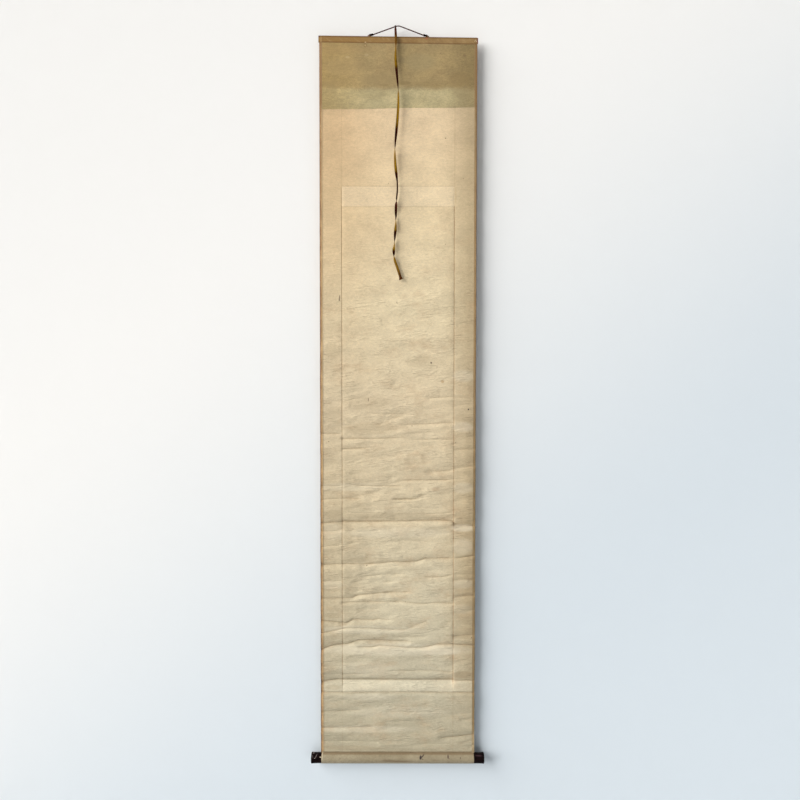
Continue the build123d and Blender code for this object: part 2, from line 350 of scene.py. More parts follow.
@dataclass(frozen=True)
class Pleat:
    """An upright fold line, as one that shows at the edge of an inlaid piece."""

    course: Course
    depth: float
    left: float = 0.0015
    right: float = 0.0015
    fade: float = 0.012

    def relief(self, x: Grid, z: Grid) -> Grid:
        """How far the paper lies back at each place.

        Args:
            x: The places' x.
            z: The places' z.

        Returns:
            The depth at each place.
        """
        xs, zs = VIEWPOINT.laid(self.course)
        zs, xs = zip(*sorted(zip(zs, xs)))
        near = (z > zs[0] - self.fade) & (z < zs[-1] + self.fade)
        near &= (x > min(xs) - FOLD_REACH * self.left) & (x < max(xs) + FOLD_REACH * self.right)
        z, off = z[near], x[near] - np.interp(z[near], zs, xs)
        share = smooth((z - zs[0]) / self.fade + 0.5) * smooth((zs[-1] - z) / self.fade + 0.5)
        depth = np.zeros(near.shape)
        depth[near] = self.depth * share * np.exp(np.minimum(off, 0) / self.left - np.maximum(off, 0) / self.right)
        return depth


def strong(*course: float, depth: float = 0.0060) -> Crease:
    """A deep crease that crosses much of the sheet."""
    return Crease(course, depth, above=0.0046, below=0.0150)


def plain(*course: float, depth: float = 0.0021) -> Crease:
    """A crease of middling depth."""
    return Crease(course, depth, above=0.0028, below=0.0090)


def faint(*course: float, depth: float = 0.0011) -> Crease:
    """A shallow crease."""
    return Crease(course, depth, above=0.0022, below=0.0075)


def nick(*course: float, depth: float = 0.0016) -> Crease:
    """A short sharp dent."""
    return Crease(course, depth, above=0.0017, below=0.0052, fade=0.009)


CREASES: tuple[Crease | Pleat, ...] = (
    faint(323, 220, 341, 220),
    faint(358, 266.2, 388, 266.2),
    faint(405, 268, 430, 266, RIGHT, 265),
    faint(405, 251, 452, 250),
    faint(454, 286.8, RIGHT, 286.8, depth=0.0017),
    plain(454, 305.7, RIGHT, 305.7),
    faint(404, 319.7, 421, 318.7, 426, 316, 452, 316, depth=0.0017),
    nick(383, 324.8, 401, 322.4),
    faint(350, 330, 357, 335, 364, 337.7),
    nick(351, 341, 358, 339.4, depth=0.0011),
    nick(354, 345.6, 361, 345.0, depth=0.0009),
    nick(379, 357.6, 386, 356.6, depth=0.0012),
    nick(380, 364.2, 387, 363.4, depth=0.0012),
    nick(379, 369.2, 385, 369.8, depth=0.0010),
    faint(342, 347.4, 366, 346.2),
    faint(424, 352.5, 432, 346.5),
    faint(342, 377.6, 358, 376.4),
    faint(404, 291.6, 430, 290.2),
    faint(342, 309.6, 372, 308.4),
    faint(406, 332.3, 431, 332.3),
    faint(364, 360.5, 402, 360.5),
    plain(390, 365.5, 420, 361.8, 432, 361, 452, 361.6),
    faint(366, 381.6, 380, 381),
    faint(390, 385.4, 404, 382, 426, 379),
    faint(462, 375.7, RIGHT, 373),
    faint(342, 393, 364, 391),
    faint(401, 394, 416, 392.6),
    plain(429, 398.5, 453, 397, 468, 398),
    faint(454, 406.7, 470, 404.5),
    faint(368, 413.7, 410, 414.5, depth=0.0017),
    nick(377, 425, 386, 422.4, 392, 419, 404, 415.4, depth=0.0025),
    strong(405, 424.6, 427, 424.2, 436, 423.8, 443, 423, 453, 423, depth=0.0032),
    faint(355, 430.5, 400, 430.5),
    plain(410, 433.8, 431, 432.7),
    plain(LEFT, 433.6, 341, 434, depth=0.0029),
    plain(342, 439, 372, 438.8, 399, 438, depth=0.0029),
    faint(413, 439.8, 452, 439.8, depth=0.0017),
    plain(342, 449, 368, 448.3, depth=0.0029),
    plain(454, 449.5, RIGHT, 449.5),
    faint(377, 458.8, 391, 457, 404, 454.4, depth=0.0019),
    faint(405, 465.3, 427, 463.6),
    plain(454, 468.5, RIGHT, 466.3),
    nick(350, 474.8, 358.6, 474.2),
    strong(427, 472.2, 452, 470.8, depth=0.0034),
    plain(400, 480.8, 424, 480.3, 451, 479.9, depth=0.0029),
    nick(347.8, 483.5, 353, 485, 360, 485.8, 377, 486.3, 401, 486.3, depth=0.0025),
    plain(LEFT, 486.2, 341, 486),
    nick(384, 484.4, 392, 483.8),
    nick(414, 492.2, 420.5, 490.6, 424, 488.8, depth=0.0027),
    nick(366, 494.6, 379, 493.2),
    nick(395, 499.3, 407.5, 499.6, 416, 499.3, 420.5, 496.6, 425, 494.2, depth=0.0038),
    plain(LEFT, 499.9, 341, 498.7),
    nick(343, 498.4, 356, 498.6, 362, 499.4, depth=0.0029),
    nick(353, 508.2, 366, 505.6),
    nick(409, 509, 421.5, 507.4),
    faint(343, 513, 373, 513.4),
    nick(425, 514.5, 436, 514.0, 452, 512.8),
    strong(341, 521.9, 375, 522, 400, 521.6, 410, 521.4, 415, 520.9, 452, 520.8, 455, 524, 460, 525.8, RIGHT,
           526.6, depth=0.0066),
    plain(LEFT, 523.4, 341, 522.2, depth=0.0034),
    nick(365.5, 530, 371.5, 526.2),
    plain(LEFT, 531.6, 341, 531.3, depth=0.0017),
    nick(350, 532.6, 362, 532.2),
    nick(442, 529, 452, 527.3),
    nick(436, 533.5, 451, 534.2),
    faint(403, 540.5, 427, 542, depth=0.0019),
    nick(344, 544.8, 356, 543),
    plain(LEFT, 546.8, 341, 544.8),
    strong(LEFT, 565, 341, 564.3, depth=0.0038),
    strong(342, 564, 366, 564.2, 377, 563.7, 392, 562.2, 406, 562.2, 416, 562, 420, 560.6, 426, 558.8, 453,
           558.8, depth=0.0050),
    nick(364, 565.8, 375, 563.2, depth=0.0025),
    plain(454, 559.3, 464, 557.6, RIGHT, 555.8, depth=0.0029),
    plain(360.8, 577, 366, 576.4, 377, 575, 406, 574),
    plain(425, 577.2, 442, 577.2, 452, 575, depth=0.0025),
    faint(454, 574.5, RIGHT, 574.5),
    plain(LEFT, 581.8, 341, 581.4),
    plain(454, 580.4, RIGHT, 579.8, depth=0.0025),
    strong(347, 592.8, 355, 596.4, 362, 595.6, 382.5, 593, 392, 592.8, 410, 592.4, depth=0.0040),
    nick(384, 593.6, 392, 592.4, depth=0.0025),
    strong(LEFT, 598.8, 352.7, 598.4, 357.6, 596, 361, 594.6, depth=0.0036),
    strong(454, 597.3, 462, 596.3, RIGHT, 595.6, depth=0.0040),
    nick(442, 598.4, 451, 596, depth=0.0025),
    plain(342, 602.8, 360, 602, 400, 602, 421, 604.2, 440, 602.8, 453, 604.3, depth=0.0029),
    strong(LEFT, 620.8, 346.5, 624, 349, 622.8, 352, 620.2, 355.4, 619.8, 373, 620.4, 379, 619.2, 384, 620, 391,
           620, depth=0.0044),
    plain(LEFT, 633.8, 332, 632, 341, 629.6, 346.7, 628.6, 372.7, 628.8, 390, 630, 409, 630, depth=0.0036),
    nick(410, 627.9, 418, 624.4, 427, 621.5, depth=0.0032),
    nick(442, 628, 446, 624.5, 450, 621, depth=0.0034),
    plain(464, 611.4, RIGHT, 609.6),
    strong(454, 636.3, RIGHT, 634.6, depth=0.0032),
    plain(393, 637.4, 423, 637.2, depth=0.0027),
    strong(LEFT, 650.6, 324, 649.2, 331.5, 646.5, 342.4, 644.9, 349, 644.6, 352, 643.2, 357, 641.6, 363, 640.8,
           393, 641.6, 410, 641.8, depth=0.0055),
    plain(359.7, 648, 373, 648, 379, 646.5, 392, 647, 404, 648, 420.5, 648.5, 430, 646.7, 436.7, 644.9, 453,
          644.5, RIGHT, 645.5, depth=0.0042),
    faint(342, 662.8, 366, 662.8),
    faint(LEFT, 666, 341, 666),
    plain(342, 674.7, 373, 674.7, depth=0.0017),
    plain(389, 671.7, 431, 671, 452, 672.5, depth=0.0025),
    faint(LEFT, 674.7, 341, 674.7),
    Crease((LEFT, 682.6, 331, 681.2, 338, 680.3, 342, 680.4, 400, 680.4, 453, 680.8), 0.0080, 0.0046, 0.036),
    plain(453, 681.6, 464, 681, RIGHT, 681.2, depth=0.0038),
    plain(LEFT, 692.9, 400, 692.9, RIGHT, 693.2, depth=0.0046),
    plain(LEFT, 711.6, 361, 710.5, depth=0.0025),
    faint(390, 712.5, 438, 712.3),
    plain(388, 721.5, 418, 721.4, depth=0.0019),
    strong(LEFT, 728, 360, 727.4, 373, 727.2, depth=0.0042),
    faint(416, 724.5, 442, 723.4),
    plain(461, 720.8, RIGHT, 719.5),
    strong(441, 738.2, 455, 737.2, 464, 736.4, RIGHT, 735.2, depth=0.0050),
    plain(462, 743.6, RIGHT, 739.6, depth=0.0030),
    nick(468, 748.4, 474, 744.2, depth=0.0024),
    faint(323, 741.4, 416, 741.5),
    faint(416, 744, 453, 744),
    Pleat((389.2, 292, 389.4, 325), 0.0003),
    Pleat((384, 412, 384, 425), 0.0003),
    Pleat((373.2, 430, 373.4, 470), 0.0005),
    Pleat((426.2, 433, 426.4, 462), 0.0005),
    Pleat((364, 563, 363.6, 577), 0.0017, left=0.003, right=0.0015),
    Pleat((368.6, 566, 368.2, 574), 0.0014),
    Pleat((390, 704, 390.4, 720), 0.0014, left=0.005, right=0.0012),
    Pleat((387.6, 721, 386.8, 731), 0.0015, left=0.006, right=0.0012),
    Pleat((441, 634, 442, 643), 0.0014),
    Pleat((398.8, 681, 398.8, 692), 0.0005),
)


# The courses that the rows of the layers follow, from the top down.
GUIDES: tuple[Course, ...] = (
    (LEFT, 397, 401, 394, 416, 393.6, 429, 398.5, 453, 397, RIGHT, 398),
    (LEFT, 413, 368, 413.7, 410, 414.5, RIGHT, 413),
    (LEFT, 425, 405, 424.6, 427, 424.2, 436, 423.8, 443, 423, 453, 423, RIGHT, 423),
    (LEFT, 438, 342, 439, 399, 438, 413, 439.8, RIGHT, 439.8),
    (LEFT, 449, 342, 449, 368, 448.3, 391, 457, RIGHT, 449.5),
    (LEFT, 470, 400, 470, 427, 472.2, 452, 470.8, RIGHT, 466.3),
    (LEFT, 480, 400, 480.8, 424, 480.3, 451, 479.9, RIGHT, 479),
    (LEFT, 486.2, 341, 486, 353, 485, 360, 485.8, 377, 486.3, 401, 486.3, RIGHT, 487),
    (LEFT, 499.9, 341, 498.7, 362, 499.4, 416, 499.3, RIGHT, 498),
    (LEFT, 512, 343, 513, 373, 513.4, 425, 514.5, 436, 514.0, 452, 512.8, RIGHT, 513),
    (LEFT, 523.4, 341, 521.9, 375, 522, 400, 521.6, 410, 521.4, 415, 520.9, RIGHT, 520.8),
    (LEFT, 531.6, 341, 531.3, 454, 526, RIGHT, 526.6),
    (LEFT, 546.8, 341, 544.8, 356, 543, 403, 540.5, 427, 542, RIGHT, 542),
    (LEFT, 565, 341, 564.3, 366, 564.2, 377, 563.7, 392, 562.2, 416, 562, 420, 560.6, 426, 558.8, 453, 558.8,
     464, 557.6, RIGHT, 555.8),
    (LEFT, 581.8, 341, 581.4, 366, 576.4, 377, 575, 406, 574, 425, 577.2, 442, 577.2, 452, 575, RIGHT, 574.5),
    (LEFT, 598.8, 352.7, 598.4, 357.6, 596, 362, 595.6, 382.5, 593, 410, 592.4, 442, 594.8, RIGHT, 595.6),
    (LEFT, 604, 342, 602.8, 360, 602, 400, 602, 421, 604.2, 440, 602.8, 453, 604.3, RIGHT, 605),
    (LEFT, 620.8, 346.5, 624, 349, 622.8, 352, 620.2, 355.4, 619.8, 373, 620.4, 379, 619.2, 391, 620, 427, 621.5,
     RIGHT, 621),
    (LEFT, 633.8, 332, 632, 341, 629.6, 346.7, 628.6, 372.7, 628.8, 390, 630, 409, 630, 454, 636.3, RIGHT,
     634.6),
    (LEFT, 650.6, 324, 649.2, 331.5, 646.5, 342.4, 644.9, 349, 644.6, 352, 643.2, 357, 641.6, 363, 640.8, 393,
     641.6, 410, 641.8, RIGHT, 641),
    (LEFT, 656, 342, 650, 359.7, 648, 373, 648, 379, 646.5, 392, 647, 404, 648, 420.5, 648.5, 430, 646.7, 436.7,
     644.9, 453, 644.5, RIGHT, 645.5),
    (LEFT, 674.7, 342, 674.7, 373, 674.7, 389, 671.7, 431, 671, 452, 672.5, RIGHT, 672),
    (LEFT, 711.6, 361, 710.5, 390, 712.5, 438, 712.3, RIGHT, 711),
    (LEFT, 720, 388, 721.5, 418, 721.4, 461, 720.8, RIGHT, 719.5),
    (LEFT, 728, 360, 727.4, 373, 727.2, RIGHT, 728),
    (LEFT, 741.4, 416, 741.5, 441, 738.2, 455, 737.2, 464, 736.4, RIGHT, 735.2),
)
PANEL_FOOT_LINE = (
    LEFT, 682.6, 331, 681.2, 338, 680.3, 342, 680.4, 400, 680.4, 453, 680.8, 464, 681, RIGHT, 681.2,
)
STRIP_FOOT_LINE = (LEFT, 692.9, 400, 692.9, RIGHT, 693.2)
@dataclass(frozen=True)
class Crumple:
    """The many small dents of the paper, which grow denser towards the roller."""

    count: int = 620
    rows: Pair = (375.0, 745.0)
    columns: Pair = (324.0, 470.0)
    reaches: Pair = (2.0, 11.0)
    depths: Pair = (0.0002, 0.0010)
    slants: Pair = (-0.28, 0.12)
    sag: float = 0.35
    spread: float = 0.8
    seed: int = 11

    def dents(self) -> list[Crease]:
        """Draws the dents with a fixed seed.

        Returns:
            One short crease for each dent.
        """
        draw = random.Random(self.seed)
        found = []
        for _ in range(self.count):
            row = self.rows[0] + (self.rows[1] - self.rows[0]) * draw.random() ** self.spread
            column = draw.uniform(*self.columns)
            reach = draw.uniform(*self.reaches)
            tilt = draw.uniform(*self.slants) * reach
            sag = draw.uniform(-self.sag, self.sag)
            course = (column, row - tilt / 2, column + reach / 2, row + sag, column + reach, row + tilt / 2)
            found.append(Crease(course, draw.uniform(*self.depths), above=0.0016, below=0.0050, fade=0.006))
        return found


CRUSHED = Crumple(
    count=190, rows=(466, 604), columns=(344, 398), reaches=(2.5, 7.0), depths=(0.0007, 0.0018), seed=4,
)


@dataclass(frozen=True)
class Wave:
    """One slow wave of the hanging sheet."""

    rise: float
    across: float
    down: float
    start: float

    def relief(self, x: Grid, z: Grid) -> Grid:
        """The wave's depth at each place."""
        return self.rise * np.sin(2 * math.pi * (x / self.across + z / self.down + self.start))


WAVES = (
    Wave(0.00076, 0.62, 0.151, 0.10),
    Wave(0.00059, -0.38, 0.083, 0.45),
    Wave(0.00042, 0.21, 0.057, 0.80),
    Wave(0.00085, 0.90, 0.410, 0.30),
    Wave(0.00031, -0.16, 0.033, 0.65),
)


@dataclass
class Relief:
    """The form that every layer of the lined sheet shares."""

    line_depth: float = 0.0006
    line_width: float = 0.0009
    line_end: float = 0.004
    smooth_above: float = -0.62
    full_below: float = -0.95
    calm_share: float = 0.45
    calm_at_rod: float = 0.05
    calm_at_roller: float = 0.014

    def __post_init__(self) -> None:
        """Gathers the creases and dents."""
        self.folds = [*CREASES, *Crumple().dents(), *CRUSHED.dents()]
        self.soiled_and_shaded = [f for f in CREASES if isinstance(f, Crease) and f.depth >= LEAST_SOILED_AND_SHADED]

    def inlay_lines(self, x: Grid, z: Grid) -> Grid:
        """The depth of the shallow grooves along the edges of the inlaid panel and strips.

        Args:
            x: The places' x.
            z: The places' z.

        Returns:
            The depth at each place.
        """
        beside = np.abs(np.abs(x) - SIZES.half_panel)
        down = smooth((SIZES.strip_top - z) / self.line_end) * smooth((z - SIZES.strip_foot) / self.line_end)
        depth = np.exp(-beside / self.line_width) * down
        inside = smooth((SIZES.half_panel - np.abs(x)) / self.line_end + 0.5)
        for height, share in ((SIZES.strip_top, 0.5), (SIZES.panel_top, 0.4)):
            depth = np.maximum(depth, share * inside * np.exp(-np.abs(z - height) / self.line_width))
        return self.line_depth * depth

    def soil_and_shade(self, x: Grid, z: Grid) -> Grid:
        """How dark each place is painted by the fold lines that were opened most: their soil, and painted shade in
        their creases.
        """
        return np.max([fold.soil_and_shade(x, z) for fold in self.soiled_and_shaded], axis=0)

    def depth(self, x: Grid, z: Grid) -> Grid:
        """How far each place of the sheet lies back, towards the picture side.

        Args:
            x: The places' x.
            z: The places' z.

        Returns:
            The depth at each place, which fades out at both rods.
        """
        folds = sum(fold.relief(x, z) for fold in self.folds)
        swell = smooth((self.smooth_above - z) / (self.smooth_above - self.full_below))
        waves = sum(wave.relief(x, z) for wave in WAVES) * (self.calm_share + (1 - self.calm_share) * swell)
        calm = smooth((SIZES.flap_end - z) / self.calm_at_rod)
        calm = calm * smooth((z - SIZES.roller_crease) / self.calm_at_roller)
        return (folds + waves + self.inlay_lines(x, z)) * calm


RELIEF = Relief()


def spaced(start: float, end: float, step: float) -> Grid:
    """Evenly spaced values from start to end, about a step apart."""
    return np.linspace(start, end, max(1, round(abs(end - start) / step)) + 1)


def within(values: Grid, low: float, high: float, slack: float = 1e-6) -> Grid:
    """The values from low to high, with a hair of slack at both ends."""
    return values[(values >= low - slack) & (values <= high + slack)]


@dataclass
class Weave:
    """The rows and columns that all flat layers share, so that their faces lie on each other.

    Rows run along the main creases, so that a crease is as sharp as its fold.
    """

    column_step: float = 0.0078
    calm_row_step: float = 0.013
    creased_row_step: float = 0.0020
    creased_from: float = -0.925
    column_offsets: Course = (-0.0026, -0.0010, 0.0, 0.0010, 0.0026)
    column_room: float = 0.0035
    line_offsets: Course = (-0.0026, -0.0012, -0.0005, 0.0, 0.0005, 0.0012, 0.0026)
    line_room: float = 0.004
    fold_offsets: Course = (-0.0011, -0.0004, 0.0, 0.0004, 0.0011)
    fold_room: float = 0.0019
    foot_room: float = 0.0004

    def __post_init__(self) -> None:
        """Works out the height of each guide line, at its middle and along its course."""
        middle = np.linspace(-SIZES.half_cover, SIZES.half_cover, 21)
        lines = []
        for level, course in (*((None, guide) for guide in GUIDES), (SIZES.panel_foot, PANEL_FOOT_LINE),
                              (SIZES.strip_foot, STRIP_FOOT_LINE)):
            xs, zs = VIEWPOINT.laid(course)
            lines.append((float(np.interp(middle, xs, zs).mean()) if level is None else level, xs, zs))
        for level in (SIZES.wrap_foot + 1.0, self.creased_from + 0.02, SIZES.roller_crease + 0.004, -3.0):
            lines.append((level, (-1.0, 1.0), (level, level)))
        self.guides = sorted(lines)

    def heights(self, x: Grid, rows: Grid) -> Grid:
        """The height of each row at each x, with the slope of the rod above the inlays.

        Args:
            x: The places across, one line of them for each row.
            rows: The rows' height at mid width.

        Returns:
            The heights, in the shape of x.
        """
        levels = np.array([level for level, _, _ in self.guides])
        above = np.clip(np.searchsorted(levels, rows), 1, len(levels) - 1)
        share = (rows - levels[above - 1]) / (levels[above] - levels[above - 1])
        bends = np.stack([np.interp(x, xs, zs) for _, xs, zs in self.guides])
        line = np.arange(len(rows))
        low, high = bends[above - 1, line], bends[above, line]
        return low + (high - low) * share[:, None] - SIZES.rod_slope * x * self.lean(rows)[:, None]

    def lean(self, rows: Grid) -> Grid:
        """How much of the rod's slope each row takes."""
        return np.clip((rows - SIZES.strip_top) / (SIZES.flap_end - SIZES.strip_top), 0, 1)

    def columns(self) -> Grid:
        """The columns' x, with a few close ones at the panel's edges.

        Returns:
            The columns from left to right.
        """
        places = set(np.round(spaced(-SIZES.half_cover, SIZES.half_cover, self.column_step), 6))
        edges = (-SIZES.half_panel, SIZES.half_panel)
        places = {p for p in places if min(abs(p - edge) for edge in edges) > self.column_room}
        places |= {edge + offset for edge in edges for offset in self.column_offsets}
        outer = (SIZES.half_backing, SIZES.bend, SIZES.half_cover, SIZES.half_cover + EDGE_FOLD / 2)
        places |= {side.value * x for side in Side for x in outer}
        return np.array(sorted(places))

    def rows(self) -> Grid:
        """The rows' height at mid width, from the top down.

        Returns:
            The heights.
        """
        lines = (SIZES.strip_top, SIZES.panel_top)
        folds = [level for level, _, _ in self.guides if SIZES.roller_crease + 0.01 < level < self.creased_from]
        rows = [*spaced(SIZES.flap_end, self.creased_from, self.calm_row_step)]
        rows += [*spaced(self.creased_from, SIZES.roller_crease, self.creased_row_step)[1:]]
        rooms = ((lines, self.line_room), (folds, self.fold_room), ((SIZES.cover_foot,), self.foot_room))
        for places, room in rooms:
            rows = [row for row in rows if min(abs(row - place) for place in places) > room]
        for places, offsets in ((lines, self.line_offsets), (folds, self.fold_offsets)):
            rows += [place + offset for place in places for offset in offsets]
        rows += [SIZES.cover_foot, SIZES.wrap_foot]
        return np.array(sorted(set(np.round(rows, 7)), reverse=True))


WEAVE = Weave()
COLUMNS = WEAVE.columns()
ROWS = WEAVE.rows()


def link(name: str, mesh: Mesh, slot: Slot, *replaced: str) -> Piece:
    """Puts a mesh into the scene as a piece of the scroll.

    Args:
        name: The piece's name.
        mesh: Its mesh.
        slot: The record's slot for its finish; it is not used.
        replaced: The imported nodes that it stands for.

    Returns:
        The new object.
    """
    piece = bpy.data.objects.new(name, mesh)
    bpy.context.scene.collection.objects.link(piece)
    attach(piece, "root")
    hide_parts(*replaced)
    LOG.info("%s: %d faces", name, len(mesh.polygons))
    return piece


def new_mesh(name: str, points: Sequence, faces: Sequence) -> Mesh:
    """Makes a mesh, turns its faces outwards and shades them smooth, apart from sharp edges.

    Args:
        name: The mesh's name.
        points: Its points.
        faces: The points of each face.

    Returns:
        The mesh.
    """
    mesh = bpy.data.meshes.new(name)
    mesh.from_pydata(points, [], faces)
    work = bmesh.new()
    work.from_mesh(mesh)
    bmesh.ops.recalc_face_normals(work, faces=work.faces)
    work.to_mesh(mesh)
    work.free()
    mesh.polygons.foreach_set("use_smooth", [True] * len(mesh.polygons))
    mesh.set_sharp_from_angle(angle=math.radians(SHARP_DEGREES))
    mesh.update()
    return mesh


def add_values(mesh: Mesh, name: str, values: Grid) -> None:
    """Stores one number for each vertex, for the finish to read."""
    mesh.attributes.new(name, "FLOAT", "POINT").data.foreach_set("value", np.asarray(values, dtype=np.float32))


def swept(name: str, loops: Sequence[Sequence[Vector]]) -> Mesh:
    """Joins closed loops of points, one after the other, into a skin with both ends filled.

    Args:
        name: The mesh's name.
        loops: The loops, all with as many points.

    Returns:
        The mesh.
    """
    around = len(loops[0])
    last = (len(loops) - 1) * around
    faces = []
    for first in range(0, last, around):
        for j in range(around):
            here, there = first + j, first + (j + 1) % around
            faces.append((here, there, there + around, here + around))
    faces += [tuple(reversed(range(around))), tuple(range(last, last + around))]
    return new_mesh(name, [point for loop in loops for point in loop], faces)


def joined(name: str, meshes: Sequence[Mesh], slots: Sequence[int]) -> Mesh:
    """Joins meshes into one, each with its own material index.

    Args:
        name: The new mesh's name.
        meshes: The meshes, which are removed.
        slots: The material index of each.

    Returns:
        The joined mesh.
    """
    work = bmesh.new()
    for part, index in zip(meshes, slots):
        before = len(work.faces)
        work.from_mesh(part)
        work.faces.ensure_lookup_table()
        for face in work.faces[before:]:
            face.material_index = index
        bpy.data.meshes.remove(part)
    mesh = bpy.data.meshes.new(name)
    work.to_mesh(mesh)
    work.free()
    return mesh


@dataclass
class FlatLayer:
    """One thin layer of the lined sheet, with the shared relief on both of its faces."""

    name: str
    node: str
    slot: Slot
    back: float
    front: float
    half_width: float
    rows: Grid
    keep: Callable[[Grid, Grid], Grid] | None = None
    foot_line: Callable[[Grid], Grid] | None = None

    def places(self) -> tuple[Grid, Grid]:
        """The x and z of each crossing of a row and a column.

        Returns:
            Two arrays, with one row for each row of the layer.
        """
        columns = within(COLUMNS, -self.half_width, self.half_width)
        x, _ = np.meshgrid(columns, self.rows)
        z = WEAVE.heights(x, self.rows)
        if self.foot_line is not None:
            top, foot = self.rows[0], self.rows[-1]
            pull = np.clip((top - self.rows) / (top - foot), 0, 1) ** 4
            slope = SIZES.rod_slope * x * WEAVE.lean(self.rows)[-1]
            z = z + (self.foot_line(columns)[None, :] - foot + slope) * pull[:, None]
        return x, z

    def cells(self, x: Grid) -> Grid:
        """Which cells between rows and columns are there."""
        shape = (x.shape[0] - 1, x.shape[1] - 1)
        if self.keep is None:
            return np.ones(shape, dtype=bool)
        return self.keep(*np.meshgrid((x[0, 1:] + x[0, :-1]) / 2, (self.rows[1:] + self.rows[:-1]) / 2))

    def skin(self) -> Mesh:
        """Makes the layer's closed skin, with walls round its outline and its window.

        Returns:
            The mesh.
        """
        x, z = self.places()
        cells = self.cells(x)
        count = x.size
        index = np.arange(count).reshape(x.shape)
        corners = (index[:-1, :-1], index[:-1, 1:], index[1:, 1:], index[1:, :-1])
        a, b, c, d = (corner[cells] for corner in corners)
        faces = [np.stack([a, d, c, b], 1), np.stack([a, b, c, d], 1) + count]
        padded = np.pad(cells, 1)
        for (i, j), (first, second) in (((0, 1), (0, 1)), ((2, 1), (2, 3)), ((1, 0), (3, 0)), ((1, 2), (1, 2))):
            rim = cells & ~padded[i:i + cells.shape[0], j:j + cells.shape[1]]
            p, q = corners[first][rim], corners[second][rim]
            faces.append(np.stack([p, q, q + count, p + count], 1))
        used, faces = np.unique(np.concatenate(faces), return_inverse=True)
        depth = RELIEF.depth(x, z)
        points = [np.stack([x, face + depth, z], -1).reshape(-1, 3) for face in (self.back, self.front)]
        mesh = new_mesh(self.name, np.concatenate(points)[used].tolist(), faces.reshape(-1, 4).tolist())
        add_values(mesh, "soil_and_shade", np.concatenate([RELIEF.soil_and_shade(x, z).ravel()] * 2)[used])
        return mesh

    def build(self, length: float) -> None:
        """Builds the layer."""
        piece = link(self.name, self.skin(), self.slot, self.node)


@dataclass
class LinedSheet:
    """The flat layers: backing paper, cover band, panel, strips and the mounting's front."""

    # The rise, length and start of each wave of the cover band's lower edge.
    wanders: tuple[Triple, ...] = ((0.0005, 0.19, 0.2), (0.0002, 0.031, 0.0))

    def cover_edge(self, x: Grid) -> Grid:
        """The height of the cover band's lower edge, which slants and wanders a little."""
        wander = sum(rise * np.sin(2 * math.pi * (x / length + start)) for rise, length, start in self.wanders)
        return SIZES.cover_foot + COVER_RISE * x / (2 * SIZES.half_cover) + wander

    @staticmethod
    def beside_window(x: Grid, z: Grid) -> Grid:
        """Everything of the mounting but its window."""
        return (np.abs(x) > SIZES.half_panel) | (z > SIZES.strip_top) | (z < SIZES.strip_foot)

    def inlay(self, name: str, node: str, slot: Slot, top: float, foot: float) -> None:
        """Builds the panel or one of the strips, between the heights of its upper and lower edge."""
        rows = within(ROWS, foot, top)
        FlatLayer(name, node, slot, SIZES.seam, SIZES.front_face, SIZES.half_panel, rows).build(top - foot)

    def mounting(self) -> None:
        """Builds the mounting, with its window and its two long edges folded to the back."""
        rows = within(ROWS, SIZES.roller_crease, SIZES.flap_end)
        front = FlatLayer(
            "front", "mount_cloth", Slot.MOUNT, SIZES.seam, SIZES.front_face, SIZES.bend, rows, self.beside_window,
        )
        mesh = joined("mounting_sheet", [front.skin(), *(EdgeFold(side).skin(rows) for side in Side)], (0, 0, 0))
        piece = link(mesh.name, mesh, Slot.MOUNT, "mount_cloth")

    def build(self) -> None:
        """Builds all flat layers."""
        FlatLayer(
            "creased_backing", "backing_paper", Slot.BACKING, SIZES.back_face, SIZES.seam, SIZES.half_backing,
            ROWS,
        ).build(ROWS[0] - ROWS[-1])
        FlatLayer(
            "cover_silk_band", "cover_band", Slot.COVER, SIZES.rod_back, SIZES.back_face, SIZES.half_cover,
            within(ROWS, SIZES.cover_foot, SIZES.wrap_foot), foot_line=self.cover_edge,
        ).build(COVER_HEIGHT + TOP_FLAP)
        self.inlay("blank_panel", "picture_panel", Slot.PANEL, SIZES.panel_top, SIZES.panel_foot)
        self.inlay("upper_silk_strip", "upper_strip", Slot.STRIP, SIZES.strip_top, SIZES.panel_top)
        self.inlay("lower_silk_strip", "lower_strip", Slot.STRIP, SIZES.panel_foot, SIZES.strip_foot)
        self.mounting()


def arc(y: float, z: float, radius: float, angles: Sequence[float]) -> list[Pair]:
    """Points at some angles round a centre."""
    return [(y + radius * math.cos(a), z + radius * math.sin(a)) for a in angles]


